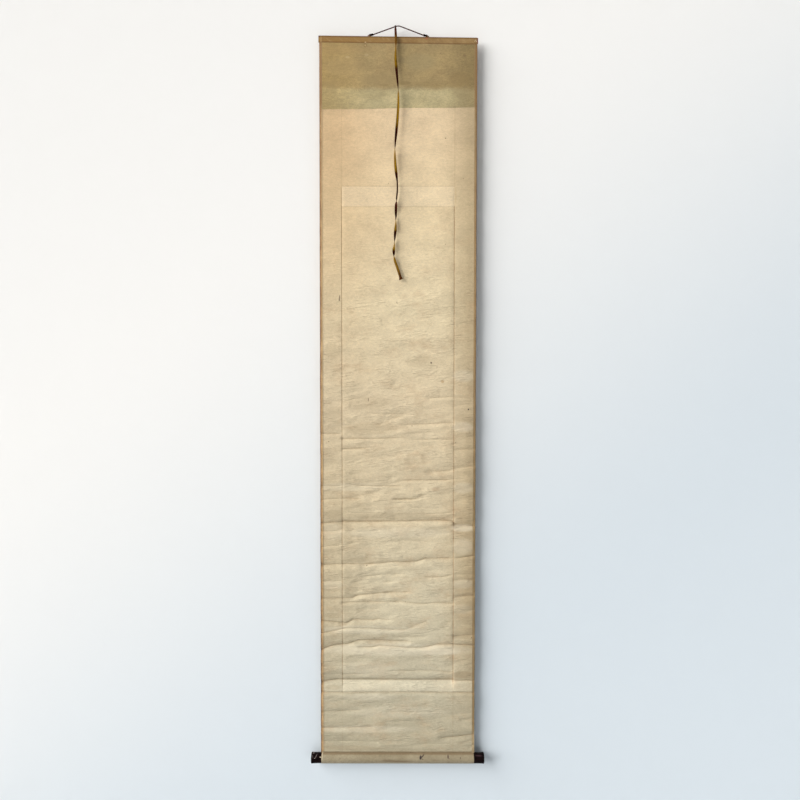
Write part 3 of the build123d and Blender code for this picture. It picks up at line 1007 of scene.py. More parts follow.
@dataclass
class EdgeFold:
    """A long edge of the mounting, turned over to the back."""

    side: Side
    play: float = 0.00035
    stray: float = 0.25
    pull: float = 0.4
    raised: float = 0.00018
    round_steps: int = 6
    seed: int = 3

    def section(self, wander: float) -> list[Pair]:
        """The fold's outline across the sheet: distance from mid width, and place from back to front.

        Args:
            wander: How far the pasted edge strays inwards.

        Returns:
            The outline's points.
        """
        outer = SIZES.half_sheet - SIZES.bend
        inner = outer - MOUNT_THICKNESS
        level = SIZES.front_face - outer
        edge = SIZES.half_cover - wander
        angles = [math.pi / 2 - math.pi * k / self.round_steps for k in range(self.round_steps + 1)]
        flat = [edge + (SIZES.bend - edge) * share for share in (0.5, 0.12, 0.0)]
        backs = [*zip(flat, (level - outer, level - outer, level - outer - self.raised))]
        unders = [*zip(flat, (level - inner, level - inner, level - inner - self.raised / 2))]
        under_bend = arc(SIZES.bend, level, inner, angles)
        return [*arc(SIZES.bend, level, outer, angles), *backs, *reversed(unders), *reversed(under_bend)]

    def skin(self, rows: Grid) -> Mesh:
        """Makes the fold down the sheet.

        Args:
            rows: The heights of its sections at mid width.

        Returns:
            The mesh.
        """
        draw = random.Random(self.seed + self.side.value)
        sections = []
        wander = 0.0
        for _ in rows:
            wander += self.stray * (draw.uniform(-self.play, self.play) - self.pull * wander)
            sections.append(self.section(wander))
        x, y = np.moveaxis(np.array(sections), -1, 0)
        x = self.side.value * x
        z = WEAVE.heights(x, rows)
        places = np.stack([x, y + RELIEF.depth(x, z), z], -1)
        return swept(f"{self.side.word}_edge_fold", [[Vector(place) for place in loop] for loop in places])


@dataclass
class Wrap:
    """The cloth round a rod: an outline that runs along it with a little play, ragged towards its ends."""

    name: str
    held: str
    ends: Pair
    inner_share: float
    play: float
    seed: int
    step: float = 0.006

    def outline(self, offset: float) -> list[Pair]:
        """The wrap's line round its rod, as place from back to front and height, at an offset from the wood."""
        raise NotImplementedError

    def place(self, x: float, y: float, z: float, stray: float) -> Vector:
        """The place along the rod of one point of the outline."""
        raise NotImplementedError

    def build(self) -> None:
        """Builds the wrap along its rod."""
        draw = random.Random(self.seed)
        outer, inner = self.outline(MOUNT_THICKNESS), self.outline(MOUNT_THICKNESS * self.inner_share)
        loops = [
            [self.place(x, y, z, draw.uniform(-self.play, self.play)) for y, z in (*outer, *reversed(inner))]
            for x in spaced(*self.ends, self.step)
        ]
        piece = link(self.name, swept(self.name, loops), Slot.MOUNT, "mount_cloth")
        around = sum(math.dist(a, b) for a, b in zip(outer, outer[1:]))


@dataclass
class RodWrap(Wrap):
    """The cloth round the top rod, with a closed left end and a worn open right one."""

    name: str = "rod_wrap"
    held: str = "folded"
    ends: Pair = (-SIZES.half_rod - END_TAB, SIZES.half_sheet)
    inner_share: float = 0.12
    play: float = 0.00006
    seed: int = 5
    ragged: float = 0.0011
    ragged_reach: float = 0.004
    rag_waves: Pair = (900, 500)
    front_steps: int = 14
    fullness: float = 0.9
    least_offset: float = 0.45
    back_play: float = 0.4

    def outline(self, offset: float) -> list[Pair]:
        """The line from the flap on the back over the top and down the rounded front.

        Args:
            offset: How far outside the rod the line runs.

        Returns:
            The line's points.
        """
        back, top, foot = SIZES.rod_back, SIZES.rod_top, SIZES.rod_foot
        front_top, front_foot = back + ROD_TOP_WIDTH, back + ROD_FOOT_WIDTH
        swell = SIZES.rod_front - (front_top + front_foot) / 2
        line = [(back - offset, height) for height in np.linspace(SIZES.flap_end, top, 8)]
        line += arc(back, top, offset, np.linspace(math.pi, math.pi / 2, 4))
        line += [((back + front_top) / 2, top + offset), (front_top, top + offset)]
        for k in range(self.front_steps + 1):
            share = k / self.front_steps
            bulge = math.sin(math.pi * share) ** self.fullness
            chord = front_top + (front_foot - front_top) * share
            out = swell * bulge + offset * max(self.least_offset, bulge)
            line.append((chord + out, top + (foot - top) * share))
        front = SIZES.front_face
        return [*line, (front_foot, foot - offset), (front, foot - offset), (front, SIZES.flap_end)]

    def place(self, x: float, y: float, z: float, stray: float) -> Vector:
        """A point's place: ragged at the right end, and lower there with the rod's slope.

        Args:
            x: The point's place along the rod.
            y: Its place from back to front.
            z: Its height.
            stray: How far the cloth strays there.

        Returns:
            The place.
        """
        end = float(smooth((x - SIZES.half_sheet) / self.ragged_reach + 1.0))
        inwards = self.ragged * end * abs(math.sin(self.rag_waves[0] * z + self.rag_waves[1] * y))
        stray *= 1 if y > SIZES.rod_back else self.back_play
        return Vector((x - inwards, y + stray, z - SIZES.rod_slope * x))


@dataclass
class RollerWrap(Wrap):
    """The cloth round the bottom roller, with the low flap on the back and slightly ragged ends."""

    name: str = "roller_wrap"
    held: str = "stretched"
    ends: Pair = (-SIZES.half_roller, SIZES.half_roller)
    inner_share: float = 0.15
    play: float = 0.00010
    seed: int = 8
    ragged: float = 0.0009
    ragged_reach: float = 0.0035
    rag_waves: Pair = (700, 400)
    round_steps: int = 40
    above_crease: float = 0.0006

    def outline(self, offset: float) -> list[Pair]:
        """The line from the back flap round the roller to the front strip.

        Args:
            offset: How far outside the roller the line runs.

        Returns:
            The line's points.
        """
        radius = SIZES.roller_radius + offset
        back, front, crease = SIZES.back_face - offset, SIZES.seam + offset, SIZES.roller_crease
        flap, near = crease + LOW_FLAP, crease + self.above_crease
        first, last = math.asin((SIZES.seam - back) / radius), math.asin((front - SIZES.seam) / radius)
        turn = (2 * math.pi - first - last) / self.round_steps
        angles = [math.pi / 2 + first + turn * k for k in range(self.round_steps + 1)]
        ring = arc(SIZES.seam, SIZES.roller_height, radius, angles)
        return [(back, flap), (back, (flap + crease) / 2), (back, near), *ring, (front, near), (front, flap)]

    def place(self, x: float, y: float, z: float, stray: float) -> Vector:
        """A point's place: ragged at both ends, and in or out a little round the roller.

        Args:
            x: The point's place along the rod.
            y: Its place from back to front.
            z: Its height.
            stray: How far the cloth strays there.

        Returns:
            The place.
        """
        end = max(0.0, 1.0 - (SIZES.half_roller - abs(x)) / self.ragged_reach)
        inwards = self.ragged * end * abs(math.sin(self.rag_waves[0] * z + self.rag_waves[1] * y))
        if z < SIZES.roller_crease:
            out = 1.0 + stray / SIZES.roller_radius
            y = SIZES.seam + (y - SIZES.seam) * out
            z = SIZES.roller_height + (z - SIZES.roller_height) * out
        return Vector((x - math.copysign(inwards, x), y, z))


def spline_points(route: Sequence[Vector], resolution: int = 16) -> list[Vector]:
    """Reads the smooth line that a cord follows from a spline with the route's points as its control points.

    Args:
        route: The route's points.
        resolution: How many steps each stretch of the spline gets.

    Returns:
        The points along the spline.
    """
    data = bpy.data.curves.new("route", "CURVE")
    data.dimensions = "3D"
    data.resolution_u = resolution
    spline = data.splines.new("NURBS")
    spline.points.add(len(route) - 1)
    for point, place in zip(spline.points, route):
        point.co = (*place, 1.0)
    spline.order_u = 3
    spline.use_endpoint_u = True
    holder = bpy.data.objects.new("route", data)
    bpy.context.scene.collection.objects.link(holder)
    bpy.context.view_layer.update()
    line = bpy.data.meshes.new_from_object(holder)
    points = [vertex.co.copy() for vertex in line.vertices]
    bpy.data.meshes.remove(line)
    bpy.data.objects.remove(holder)
    return points


def evenly(points: Sequence[Vector], step: float) -> list[Vector]:
    """Places along a line of points, about a step apart."""
    reach = np.concatenate([[0.0], np.cumsum([(b - a).length for a, b in zip(points, points[1:])])])
    wanted = spaced(0.0, float(reach[-1]), step)
    return [Vector(place) for place in zip(*(np.interp(wanted, reach, axis) for axis in zip(*points)))]


def tangents(points: Sequence[Vector]) -> list[Vector]:
    """The direction of a line at each of its points."""
    last = len(points) - 1
    return [(points[min(i + 1, last)] - points[max(i - 1, 0)]).normalized() for i in range(last + 1)]


def framed(points: Sequence[Vector]) -> Iterator[tuple[Vector, Vector, Vector]]:
    """Each point of a line with two directions square to the line, which turn as little as they can."""
    lines = tangents(points)
    sideways = lines[0].orthogonal().normalized()
    for point, along in zip(points, lines):
        sideways = (sideways - along * sideways.dot(along)).normalized()
        yield point, sideways, along.cross(sideways)


def swung(point: Vector, sideways: Vector, other: Vector, angle: float, distance: float) -> Vector:
    """The place at an angle and a distance from a point, in the plane of two directions."""
    return point + (sideways * math.cos(angle) + other * math.sin(angle)) * distance


def tube(name: str, points: Sequence[Vector], radius: Callable[[float], float], around: int = 8) -> Mesh:
    """A tube along a line.

    Args:
        name: The mesh's name.
        points: The line's points.
        radius: The tube's radius for a share of the line from 0 to 1.
        around: How many points each ring has.

    Returns:
        The mesh.
    """
    angles = [2 * math.pi * k / around for k in range(around)]
    last = len(points) - 1
    rings = ([swung(*here, a, radius(i / last)) for a in angles] for i, here in enumerate(framed(points)))
    return swept(name, list(rings))


def helix(points: Sequence[Vector], offset: float, pitch: float, start: float) -> list[Vector]:
    """A line that winds round another one.

    Args:
        points: The inner line, evenly spaced.
        offset: The distance from it.
        pitch: The length of one turn.
        start: The angle at which it begins.

    Returns:
        The winding line.
    """
    wound = []
    reach = 0.0
    for i, (point, sideways, other) in enumerate(framed(points)):
        reach += (point - points[i - 1]).length if i else 0.0
        wound.append(swung(point, sideways, other, start + 2 * math.pi * reach / pitch, offset))
    return wound


@dataclass
class HangingCord:
    """The taut twisted cord from eyelet to eyelet, over the nail."""

    diameter: float = 0.0024
    pitch: float = 0.0064
    strand_share: float = 0.39
    strand_offset: float = 0.24
    near_bend: float = 0.014
    top: float = 0.0019
    step: float = 0.0004

    def route(self) -> list[Vector]:
        """The cord's route from knot to knot, with a point near the bend on each leg.

        Returns:
            The route's points.
        """
        left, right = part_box("left_cord_knot"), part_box("right_cord_knot")
        ends = [Vector((x, 0, knot[1].z - self.diameter)) for x, knot in ((left[1].x, left), (right[0].x, right))]
        apex = Vector((0, 0, self.top))
        near = [apex + (end - apex).normalized() * self.near_bend for end in ends]
        return [ends[0], near[0], apex, near[1], ends[1]]

    def build(self) -> None:
        """Builds two strands that wind round the cord's line."""
        points = evenly(spline_points(self.route()), self.step)
        paths = [helix(points, self.diameter * self.strand_offset, self.pitch, start) for start in (0.0, math.pi)]
        strands = [tube("strand", path, lambda share: self.diameter * self.strand_share) for path in paths]
        piece = link("twisted_cord", joined("twisted_cord", strands, (0, 1)), Slot.CORD, "hanging_cord")


@dataclass
class CordKnot:
    """The cord's windings at one eyelet, and the short end that sticks out beyond the eye."""

    side: Side
    cord_radius: float = 0.0012
    turns: float = 5.0
    lobe: float = 0.0017
    neck: float = 0.0010
    lobes: float = 1.9
    lobe_start: float = 0.05
    wound_from: float = 0.02
    wound_share: float = 0.70
    steps: int = 90
    core_stops: Course = (0.0, 0.3, 0.6, 0.85, 1.0)
    tip_drop: float = 0.0002

    def ends(self) -> tuple[Vector, Vector]:
        """The knot's inner and outer end."""
        low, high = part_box(f"{self.side.word}_cord_knot")
        inner_x, outer_x = (high.x, low.x) if self.side is Side.LEFT else (low.x, high.x)
        middle, margin = (low.y + high.y) / 2, self.lobe + self.cord_radius * 0.4
        return Vector((inner_x, middle, high.z - margin)), Vector((outer_x, middle, low.z + margin))

    def windings(self, inner: Vector, span: Vector) -> list[Vector]:
        """The line of the windings, in two lobes.

        Args:
            inner: The knot's inner end.
            span: The way from there to its outer end.

        Returns:
            The line's points.
        """
        sideways = Vector((0, 1, 0))
        other = span.normalized().cross(sideways)
        wound = []
        for k in range(self.steps + 1):
            share = k / self.steps
            lobes = abs(math.sin(math.pi * (share * self.lobes + self.lobe_start))) ** 0.7
            size = self.neck + (self.lobe - self.neck) * lobes
            middle = inner + span * (self.wound_from + self.wound_share * share)
            wound.append(swung(middle, sideways, other, 2 * math.pi * self.turns * share, size))
        return wound

    def build(self) -> None:
        """Builds the windings and the core that they are wound on."""
        inner, outer = self.ends()
        windings = tube("windings", self.windings(inner, outer - inner), lambda share: self.cord_radius)
        line = [inner + (outer - inner) * stop for stop in self.core_stops]
        line[-1].z -= self.tip_drop
        core = tube("core", line, lambda share: self.cord_radius * (1.15 - 0.35 * share))
        name = f"{self.side.word}_knot_windings"
        link(name, joined(name, [windings, core], (0, 1)), Slot.CORD, f"{self.side.word}_cord_knot")


RIBBON_ROUTE = (
    (-0.0065, -0.0080, -0.0260),
    (-0.0060, -0.0087, -0.0500),
    (-0.0076, -0.0100, -0.0840),
    (-0.0040, -0.0124, -0.1230),
    (-0.0005, -0.0150, -0.1630),
    (0.0005, -0.0166, -0.2020),
    (-0.0017, -0.0160, -0.2410),
    (-0.0054, -0.0146, -0.2790),
    (-0.0092, -0.0134, -0.3200),
    (-0.0072, -0.0120, -0.3640),
    (-0.0006, -0.0098, -0.4120),
    (-0.0063, -0.0084, -0.4590),
    (-0.0054, -0.0080, -0.5050),
    (-0.0093, -0.0094, -0.5490),
    (-0.0126, -0.0088, -0.5925),
    (-0.0010, -0.0082, -0.6225),
    (0.0080, -0.0092, -0.6515),
)

# Rows of the photograph, and how far the ribbon has turned there in degrees. 0 turns the first face of its outline
# to the camera.
RIBBON_TURNS = (
    (24, -36), (36, -20), (42, -38), (48.5, -84), (52, -55), (60, -25), (67, -4),
    (75, 25), (85, 55), (92.5, 90), (97, 120), (110, 150), (127, 178), (138, 215),
    (147, 250), (150.5, 270), (153, 290), (163, 332), (173, 360), (182, 420),
    (190, 420), (200, 424), (204, 495), (208, 535), (214, 570), (219, 615),
    (222, 640), (228, 690), (231, 720), (236, 755), (240, 790), (243, 815), (247, 840),
    (250, 895), (254, 930), (257, 1000), (260.5, 1042), (270, 1052), (282, 1060),
)
# Rows, and the least share of dark maroon brown that the ribbon is given there, partly for its dye and partly as
# painted shade.
DYE_AND_SHADE_ROWS = ((0, 1.0), (34, 1.0), (38, 0.6), (47, 0.6), (50, 0.15), (56, 0.0), (182, 0.0), (185, 1.0), (218, 1.0),
             (220, 0.0), (258, 0.0), (262, 0.15), (270, 0.25), (276, 0.85), (300, 1.0))


@dataclass
class WindingRibbon:
    """The flat tape that hangs down the back and turns on itself many times.

    It is painted maroon brown where it turns away from the window, as painted shade.
    """

    width: float = 0.0069
    thickness: float = 0.0008
    cup: float = 0.0006
    step: float = 0.0011
    flare: float = 0.0050
    flare_reach: float = 0.009
    gathered: float = 0.82
    gather_reach: float = 0.03
    rim: float = 0.35
    shade_from: float = -12.0
    shade_reach: float = 26.0
    start: Pair = (-0.0076, -0.0010)
    across: Course = (-1.0, -0.93, -0.6, -0.25, 0.0, 0.25, 0.6, 0.93, 1.0)

    def along(self, points: Sequence[Vector], values: Sequence[Pair]) -> Grid:
        """Values that are given at rows of the photograph, at each point of the tape's line."""
        rows, numbers = zip(*values)
        return np.interp([-p.z for p in points], [-VIEWPOINT.level(row) for row in rows], numbers)

    def angles(self, points: Sequence[Vector]) -> Grid:
        """The tape's turn at each point of its line."""
        turns = np.pad(self.along(points, RIBBON_TURNS), 2, mode="edge")
        return np.radians(np.convolve(turns, np.ones(5) / 5, mode="valid"))

    def dye_and_shade(self, points: Sequence[Vector], angles: Grid) -> Grid:
        """How dark the tape is painted at each point of its line: painted shade where it turns away from the
        light, and at least the share that the listed rows give.
        """
        # Painted shade where the tape turns from the light, never less than the listed rows give.
        away = np.degrees(angles + math.pi / 2) % 180 - 90
        return np.maximum(smooth((away - self.shade_from) / self.shade_reach), self.along(points, DYE_AND_SHADE_ROWS))

    def section(self, size: float) -> list[Pair]:
        """The tape's outline: across, and out of its first face.

        Args:
            size: Half the tape's width.

        Returns:
            The outline's points, first along one face and then back along the other.
        """
        faces = []
        for half in (self.thickness / 2, -self.thickness / 2):
            faces.append([
                (share * size, self.cup * (1 - share * share) + half * (self.rim if abs(share) == 1.0 else 1.0))
                for share in self.across
            ])
        return [*faces[0], *reversed(faces[1])]

    def loop(self, point: Vector, along: Vector, angle: float, size: float) -> list[Vector]:
        """The tape's outline at one point of its line.

        Args:
            point: The point.
            along: The line's direction there.
            angle: The tape's turn.
            size: Half its width.

        Returns:
            The outline's places.
        """
        facing = Vector((0, -1, 0))
        facing = (facing - along * facing.dot(along)).normalized()
        sideways = along.cross(facing)
        turned = sideways * math.cos(angle) + facing * math.sin(angle)
        outwards = facing * math.cos(angle) - sideways * math.sin(angle)
        return [point + turned * a + outwards * b for a, b in self.section(size)]

    def build(self) -> None:
        """Builds the tape with painted shade where it turns from the light, and a cut end that flares."""
        start = Vector((*self.start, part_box("winding_ribbon")[1].z))
        points = evenly(spline_points([start, *(Vector(place) for place in RIBBON_ROUTE)]), self.step)
        angles = self.angles(points)
        reach = np.arange(len(points)) * self.step
        sizes = self.width / 2 + self.flare / 2 * np.maximum(0.0, 1 - reach[::-1] / self.flare_reach) ** 1.5
        sizes = sizes * (self.gathered + (1 - self.gathered) * np.minimum(1.0, reach / self.gather_reach))
        loops = [self.loop(*here) for here in zip(points, tangents(points), angles, sizes)]
        mesh = swept("hanging_ribbon", loops)
        add_values(mesh, "dye_and_shade", np.repeat(self.dye_and_shade(points, angles), len(loops[0])))
        piece = link(mesh.name, mesh, Slot.RIBBON, "winding_ribbon")


@dataclass
class RibbonLoop:
    """The tape's loop round the hanging cord, gathered into a narrow neck."""

    tape: float = 0.0050
    thickness: float = 0.0007
    radius: float = 0.0019
    gathered: float = 0.45
    aside: float = -0.0002
    drop: float = 0.0026
    cord_slope: float = 0.304
    steps: int = 40
    neck_line: tuple[Triple, ...] = (
        (0.0002, -0.0014, -0.0016), (0.0004, -0.0018, -0.0032), (0.0004, -0.0020, -0.0048),
    )
    neck_radius: float = 0.0016
    neck_taper: float = 0.0002

    def build(self) -> None:
        """Builds a band that goes round the cord and gathers below it."""
        low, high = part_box("ribbon_knot")
        centre = Vector(((low.x + high.x) / 2 + self.aside, 0, high.z - self.drop))
        leg = Vector((1, 0, self.cord_slope)).normalized()
        loops = []
        for k in range(self.steps + 1):
            share = k / self.steps
            angle = -math.pi / 2 + 2 * math.pi * share
            outwards = Vector((0, math.cos(angle), math.sin(angle)))
            middle = centre + outwards * self.radius
            half = self.tape / 2 * (self.gathered + (1 - self.gathered) * math.sin(math.pi * share) ** 0.5)
            corners = ((-half, 0), (half, 0), (half, self.thickness), (-half, self.thickness))
            loops.append([middle + leg * a + outwards * b for a, b in corners])
        line = [centre + Vector(place) for place in self.neck_line]
        neck = tube("neck", line, lambda share: self.neck_radius - self.neck_taper * share, around=10)
        mesh = joined("ribbon_loop", [swept("band", loops), neck], (0, 0))
        link(mesh.name, mesh, Slot.RIBBON, "ribbon_knot")


class Nodes:
    """Short calls that lay out nodes in a tree."""

    def __init__(self, tree: bpy.types.NodeTree) -> None:
        """Takes the tree."""
        self.tree = tree

    def node(self, kind: str, **settings: object) -> bpy.types.Node:
        """Adds a node and gives it settings."""
        made = self.tree.nodes.new(kind)
        for name, value in settings.items():
            setattr(made, name, value)
        return made

    def put(self, socket: Socket, value: object) -> None:
        """Links a socket, or sets it to a plain value.

        Args:
            socket: The socket.
            value: Another socket, or what to set it to.
        """
        if isinstance(value, Socket):
            self.tree.links.new(value, socket)
        elif hasattr(value, "__len__") and len(value) == 3 and socket.type == "RGBA":
            socket.default_value = (*value, 1.0)
        else:
            socket.default_value = value

    def fed(self, made: bpy.types.Node, **inputs: object) -> bpy.types.Node:
        """Puts values into the inputs of a node that have their names."""
        for name, value in inputs.items():
            self.put(made.inputs[name], value)
        return made

    def calc(self, operation: str, *values: Value) -> Socket:
        """One step of arithmetic on up to three values."""
        made = self.node("ShaderNodeMath", operation=operation)
        for socket, value in zip(made.inputs, values):
            self.put(socket, value)
        return made.outputs[0]


class Shader(Nodes):
    """A material whose nodes are laid out by short calls."""

    def __init__(self, name: str, roughness: float = 0.8) -> None:
        """Starts a material with one surface shader.

        Args:
            name: The material's name.
            roughness: The surface's roughness where nothing varies it.
        """
        self.material = bpy.data.materials.new(name)
        self.material.use_nodes = True
        super().__init__(self.material.node_tree)
        self.surface = self.tree.nodes["Principled BSDF"]
        self.surface_value("Roughness", roughness)
        self.object_place = self.node("ShaderNodeTexCoord").outputs["Object"]

    @cached_property
    def axes(self) -> bpy.types.NodeOutputs:
        """The place on the scroll, split up into its coordinates."""
        split = self.node("ShaderNodeSeparateXYZ")
        self.put(split.inputs[0], self.object_place)
        return split.outputs

    @property
    def x(self) -> Socket:
        """The place across the scroll."""
        return self.axes["X"]

    @property
    def z(self) -> Socket:
        """The height on the scroll."""
        return self.axes["Z"]

    def beside(self) -> Socket:
        """The distance from mid width."""
        return self.calc("ABSOLUTE", self.x)

    def surface_value(self, name: str, value: object) -> None:
        """Sets an input of the surface, or links it."""
        self.put(self.surface.inputs[name], value)

    def mapped(self, **settings: Triple) -> Socket:
        """The place on the scroll in a system of its own: moved, turned and stretched."""
        mapping = self.node("ShaderNodeMapping", vector_type="TEXTURE")
        return self.fed(mapping, Vector=self.object_place, **settings).outputs["Vector"]

    def place(self, scale: Triple = (1, 1, 1), turn: float = 0.0) -> Socket:
        """The place on the scroll, turned in its plane and stretched by a scale along each axis."""
        return self.mapped(Scale=tuple(1 / value for value in scale), Rotation=(0, turn, 0))

    def noise(self, place: Socket, scale: float = 1.0, detail: float = 3.0, roughness: float = 0.55) -> Socket:
        """Cloudy noise from 0 to 1."""
        made = self.node("ShaderNodeTexNoise")
        return self.fed(made, Vector=place, Scale=scale, Detail=detail, Roughness=roughness).outputs["Fac"]

    def cells(self, place: Socket, scale: float) -> Socket:
        """The distance to the nearest of many scattered points."""
        return self.fed(self.node("ShaderNodeTexVoronoi"), Vector=place, Scale=scale).outputs["Distance"]

    def product(self, first: Value, *others: Value) -> Socket:
        """Several values multiplied."""
        for other in others:
            first = self.calc("MULTIPLY", first, other)
        return first

    def span(self, value: Value, low: float, high: float, to_low: float = 0.0, to_high: float = 1.0) -> Socket:
        """Carries a range of values to another, smoothly and without leaving it."""
        made = self.node("ShaderNodeMapRange", interpolation_type="SMOOTHSTEP")
        for socket, number in zip(made.inputs, (value, low, high, to_low, to_high)):
            self.put(socket, number)
        return made.outputs[0]

    def across(self, *ends: float) -> Socket:
        """Carries a range of places across the scroll to another range."""
        return self.span(self.x, *ends)

    def down(self, *ends: float) -> Socket:
        """Carries a range of heights on the scroll to another range."""
        return self.span(self.z, *ends)

    def near(self, value: Value, place: float, core: float, reach: float, strength: float = 1.0) -> Socket:
        """The strength where a value lies close to a place, and 0 beyond its reach."""
        off = self.calc("ABSOLUTE", self.calc("SUBTRACT", value, place))
        return self.span(off, core, reach, strength, 0.0)

    def band(self, value: Value, low: float, high: float, soft: float = 0.001) -> Socket:
        """1 where a value lies between two others and 0 elsewhere, with soft ends."""
        rise = self.span(value, low - soft, low + soft)
        return self.product(rise, self.span(value, high - soft, high + soft, 1.0, 0.0))

    def ramp(self, value: Socket, stops: Stops) -> Socket:
        """Colours, or plain levels, along a value from 0 to 1.

        Args:
            value: The value.
            stops: The places along it, each with a colour or a level.

        Returns:
            The colour.
        """
        made = self.node("ShaderNodeValToRGB")
        self.put(made.inputs[0], value)
        elements = made.color_ramp.elements
        while len(elements) < len(stops):
            elements.new(0.5)
        for element, (place, colour) in zip(elements, stops):
            element.position = place
            element.color = (*(colour if isinstance(colour, tuple) else (colour,) * 3), 1.0)
        return made.outputs["Color"]

    def mix(self, share: Value, first: object, second: object, way: str = "MIX") -> Socket:
        """Mixes two colours."""
        made = self.node("ShaderNodeMix", data_type="RGBA", blend_type=way)
        for socket, value in ((made.inputs["Factor"], share), (made.inputs[6], first), (made.inputs[7], second)):
            self.put(socket, value)
        return made.outputs[2]

    def over(self, colour: object, tint: object, *shares: Value) -> Socket:
        """Lays a tint over a colour, as strongly as all shares together say."""
        return self.mix(self.product(*shares), colour, tint)

    def stored(self, name: str) -> Socket:
        """A number that the mesh stores for each vertex."""
        return self.node("ShaderNodeAttribute", attribute_name=name).outputs["Fac"]

    def bump(self, height: Socket, distance: float, strength: float = 1.0, over: Socket | None = None) -> Socket:
        """A bump of the surface, on top of an earlier one."""
        made = self.fed(self.node("ShaderNodeBump"), Height=height, Distance=distance, Strength=strength)
        if over is not None:
            self.put(made.inputs["Normal"], over)
        return made.outputs["Normal"]

    def ribs(self, axis: Socket, pitch: float) -> Socket:
        """The height of ribs that follow each other along an axis."""
        return self.calc("SINE", self.calc("MULTIPLY", axis, 2 * math.pi / pitch))

    def done(self, colour: Socket | Colour, normal: Socket | None = None) -> Material:
        """Joins the colour and the bump to the surface."""
        self.surface_value("Base Color", colour)
        if normal is not None:
            self.surface_value("Normal", normal)
        return self.material


def srgb(red: int, green: int, blue: int) -> Colour:
    """Turns a screen colour of 0 to 255 into linear light."""
    shares = (red / 255, green / 255, blue / 255)
    return tuple(c / 12.92 if c <= 0.04045 else ((c + 0.055) / 1.055) ** 2.4 for c in shares)


@dataclass(frozen=True)
class Stain:
    """A soft-edged spot of colour on the back of the scroll, at a column and a row of the photograph. Most are
    stains; some, noted where they are listed, are painted highlights and painted shade.

    Its colour is a screen colour of 0 to 255, and its turn is clockwise as the photograph shows it.
    """

    column: float
    row: float
    width: float
    height: float
    colour: tuple[int, int, int]
    strength: float = 0.8
    turn: float = 0.0

    def over(self, shader: Shader, colour: Socket, nearer: float) -> Socket:
        """Lays the mark over a colour.

        Args:
            shader: The material's nodes.
            colour: The colour below.
            nearer: How far the surface lies nearer to the camera than the sheet.

        Returns:
            The colour with the mark.
        """
        x, z = VIEWPOINT.on_sheet(self.column, self.row, nearer)
        place = shader.mapped(
            Location=(x, 0, z), Rotation=(0, self.turn, 0), Scale=(self.width / 2, 1, self.height / 2),
        )
        length = shader.node("ShaderNodeVectorMath", operation="LENGTH")
        shader.put(length.inputs[0], place)
        mask = shader.span(length.outputs["Value"], 0.55, 1.15, 1.0, 0.0)
        return shader.over(colour, srgb(*self.colour), mask, self.strength)


def stained(shader: Shader, colour: Socket, colour_spots: Sequence[Stain], nearer: float = 0.0) -> Socket:
    """Lays several marks over a colour, on a surface that may lie nearer to the camera than the sheet."""
    for stain in colour_spots:
        colour = stain.over(shader, colour, nearer)
    return colour


PALE_PAPER = (240, 229, 203)
DULL_PAPER = (150, 130, 98)


def pale(column: float, row: float, width: float, height: float, strength: float) -> Stain:
    """A patch where the paper bulges towards the light."""
    return Stain(column, row, width, height, PALE_PAPER, strength)


def dull(column: float, row: float, width: float, height: float, strength: float) -> Stain:
    """A patch of painted shade, where the paper turns from the light."""
    return Stain(column, row, width, height, DULL_PAPER, strength)


# Painted highlights where the paper bulges towards the light, and painted shade where it turns from it.
PAPER_PATCHES = (
    pale(397, 650, 0.42, 0.036, 0.31),
    pale(440, 652, 0.11, 0.02, 0.22),
    pale(366, 630, 0.27, 0.026, 0.24),
    pale(366, 729, 0.29, 0.022, 0.2),
    pale(397, 533, 0.3, 0.032, 0.18),
    pale(463, 528, 0.07, 0.022, 0.32),
    pale(463, 547, 0.06, 0.05, 0.2),
    pale(463, 488, 0.06, 0.034, 0.2),
    pale(463, 584, 0.06, 0.028, 0.16),
    pale(463, 609, 0.06, 0.03, 0.1),
    pale(463, 427, 0.06, 0.03, 0.26),
    pale(463, 376, 0.06, 0.036, 0.22),
    pale(350, 487, 0.21, 0.024, 0.16),
    pale(333, 532, 0.06, 0.05, 0.16),
    pale(333, 585, 0.06, 0.03, 0.16),
    pale(368, 669, 0.16, 0.044, 0.16),
    pale(397, 712, 0.3, 0.034, 0.14),
    pale(368, 697, 0.16, 0.02, 0.2),
    dull(463, 633, 0.06, 0.038, 0.26),
    dull(463, 675, 0.06, 0.024, 0.52),
    dull(463, 517, 0.06, 0.02, 0.24),
    dull(463, 418, 0.06, 0.022, 0.2),
    dull(370, 429, 0.17, 0.036, 0.22),
    dull(368, 403, 0.16, 0.044, 0.18),
    dull(333, 414, 0.06, 0.05, 0.2),
    dull(333, 351, 0.06, 0.046, 0.22),
    dull(333, 514, 0.06, 0.026, 0.22),
    dull(398, 516, 0.3, 0.022, 0.24),
    dull(333, 616, 0.05, 0.016, 0.26),
    dull(333, 688, 0.05, 0.016, 0.26),
    dull(425, 362, 0.13, 0.034, 0.2),
    dull(368, 560, 0.15, 0.016, 0.26),
    dull(350, 748, 0.2, 0.014, 0.26),
)
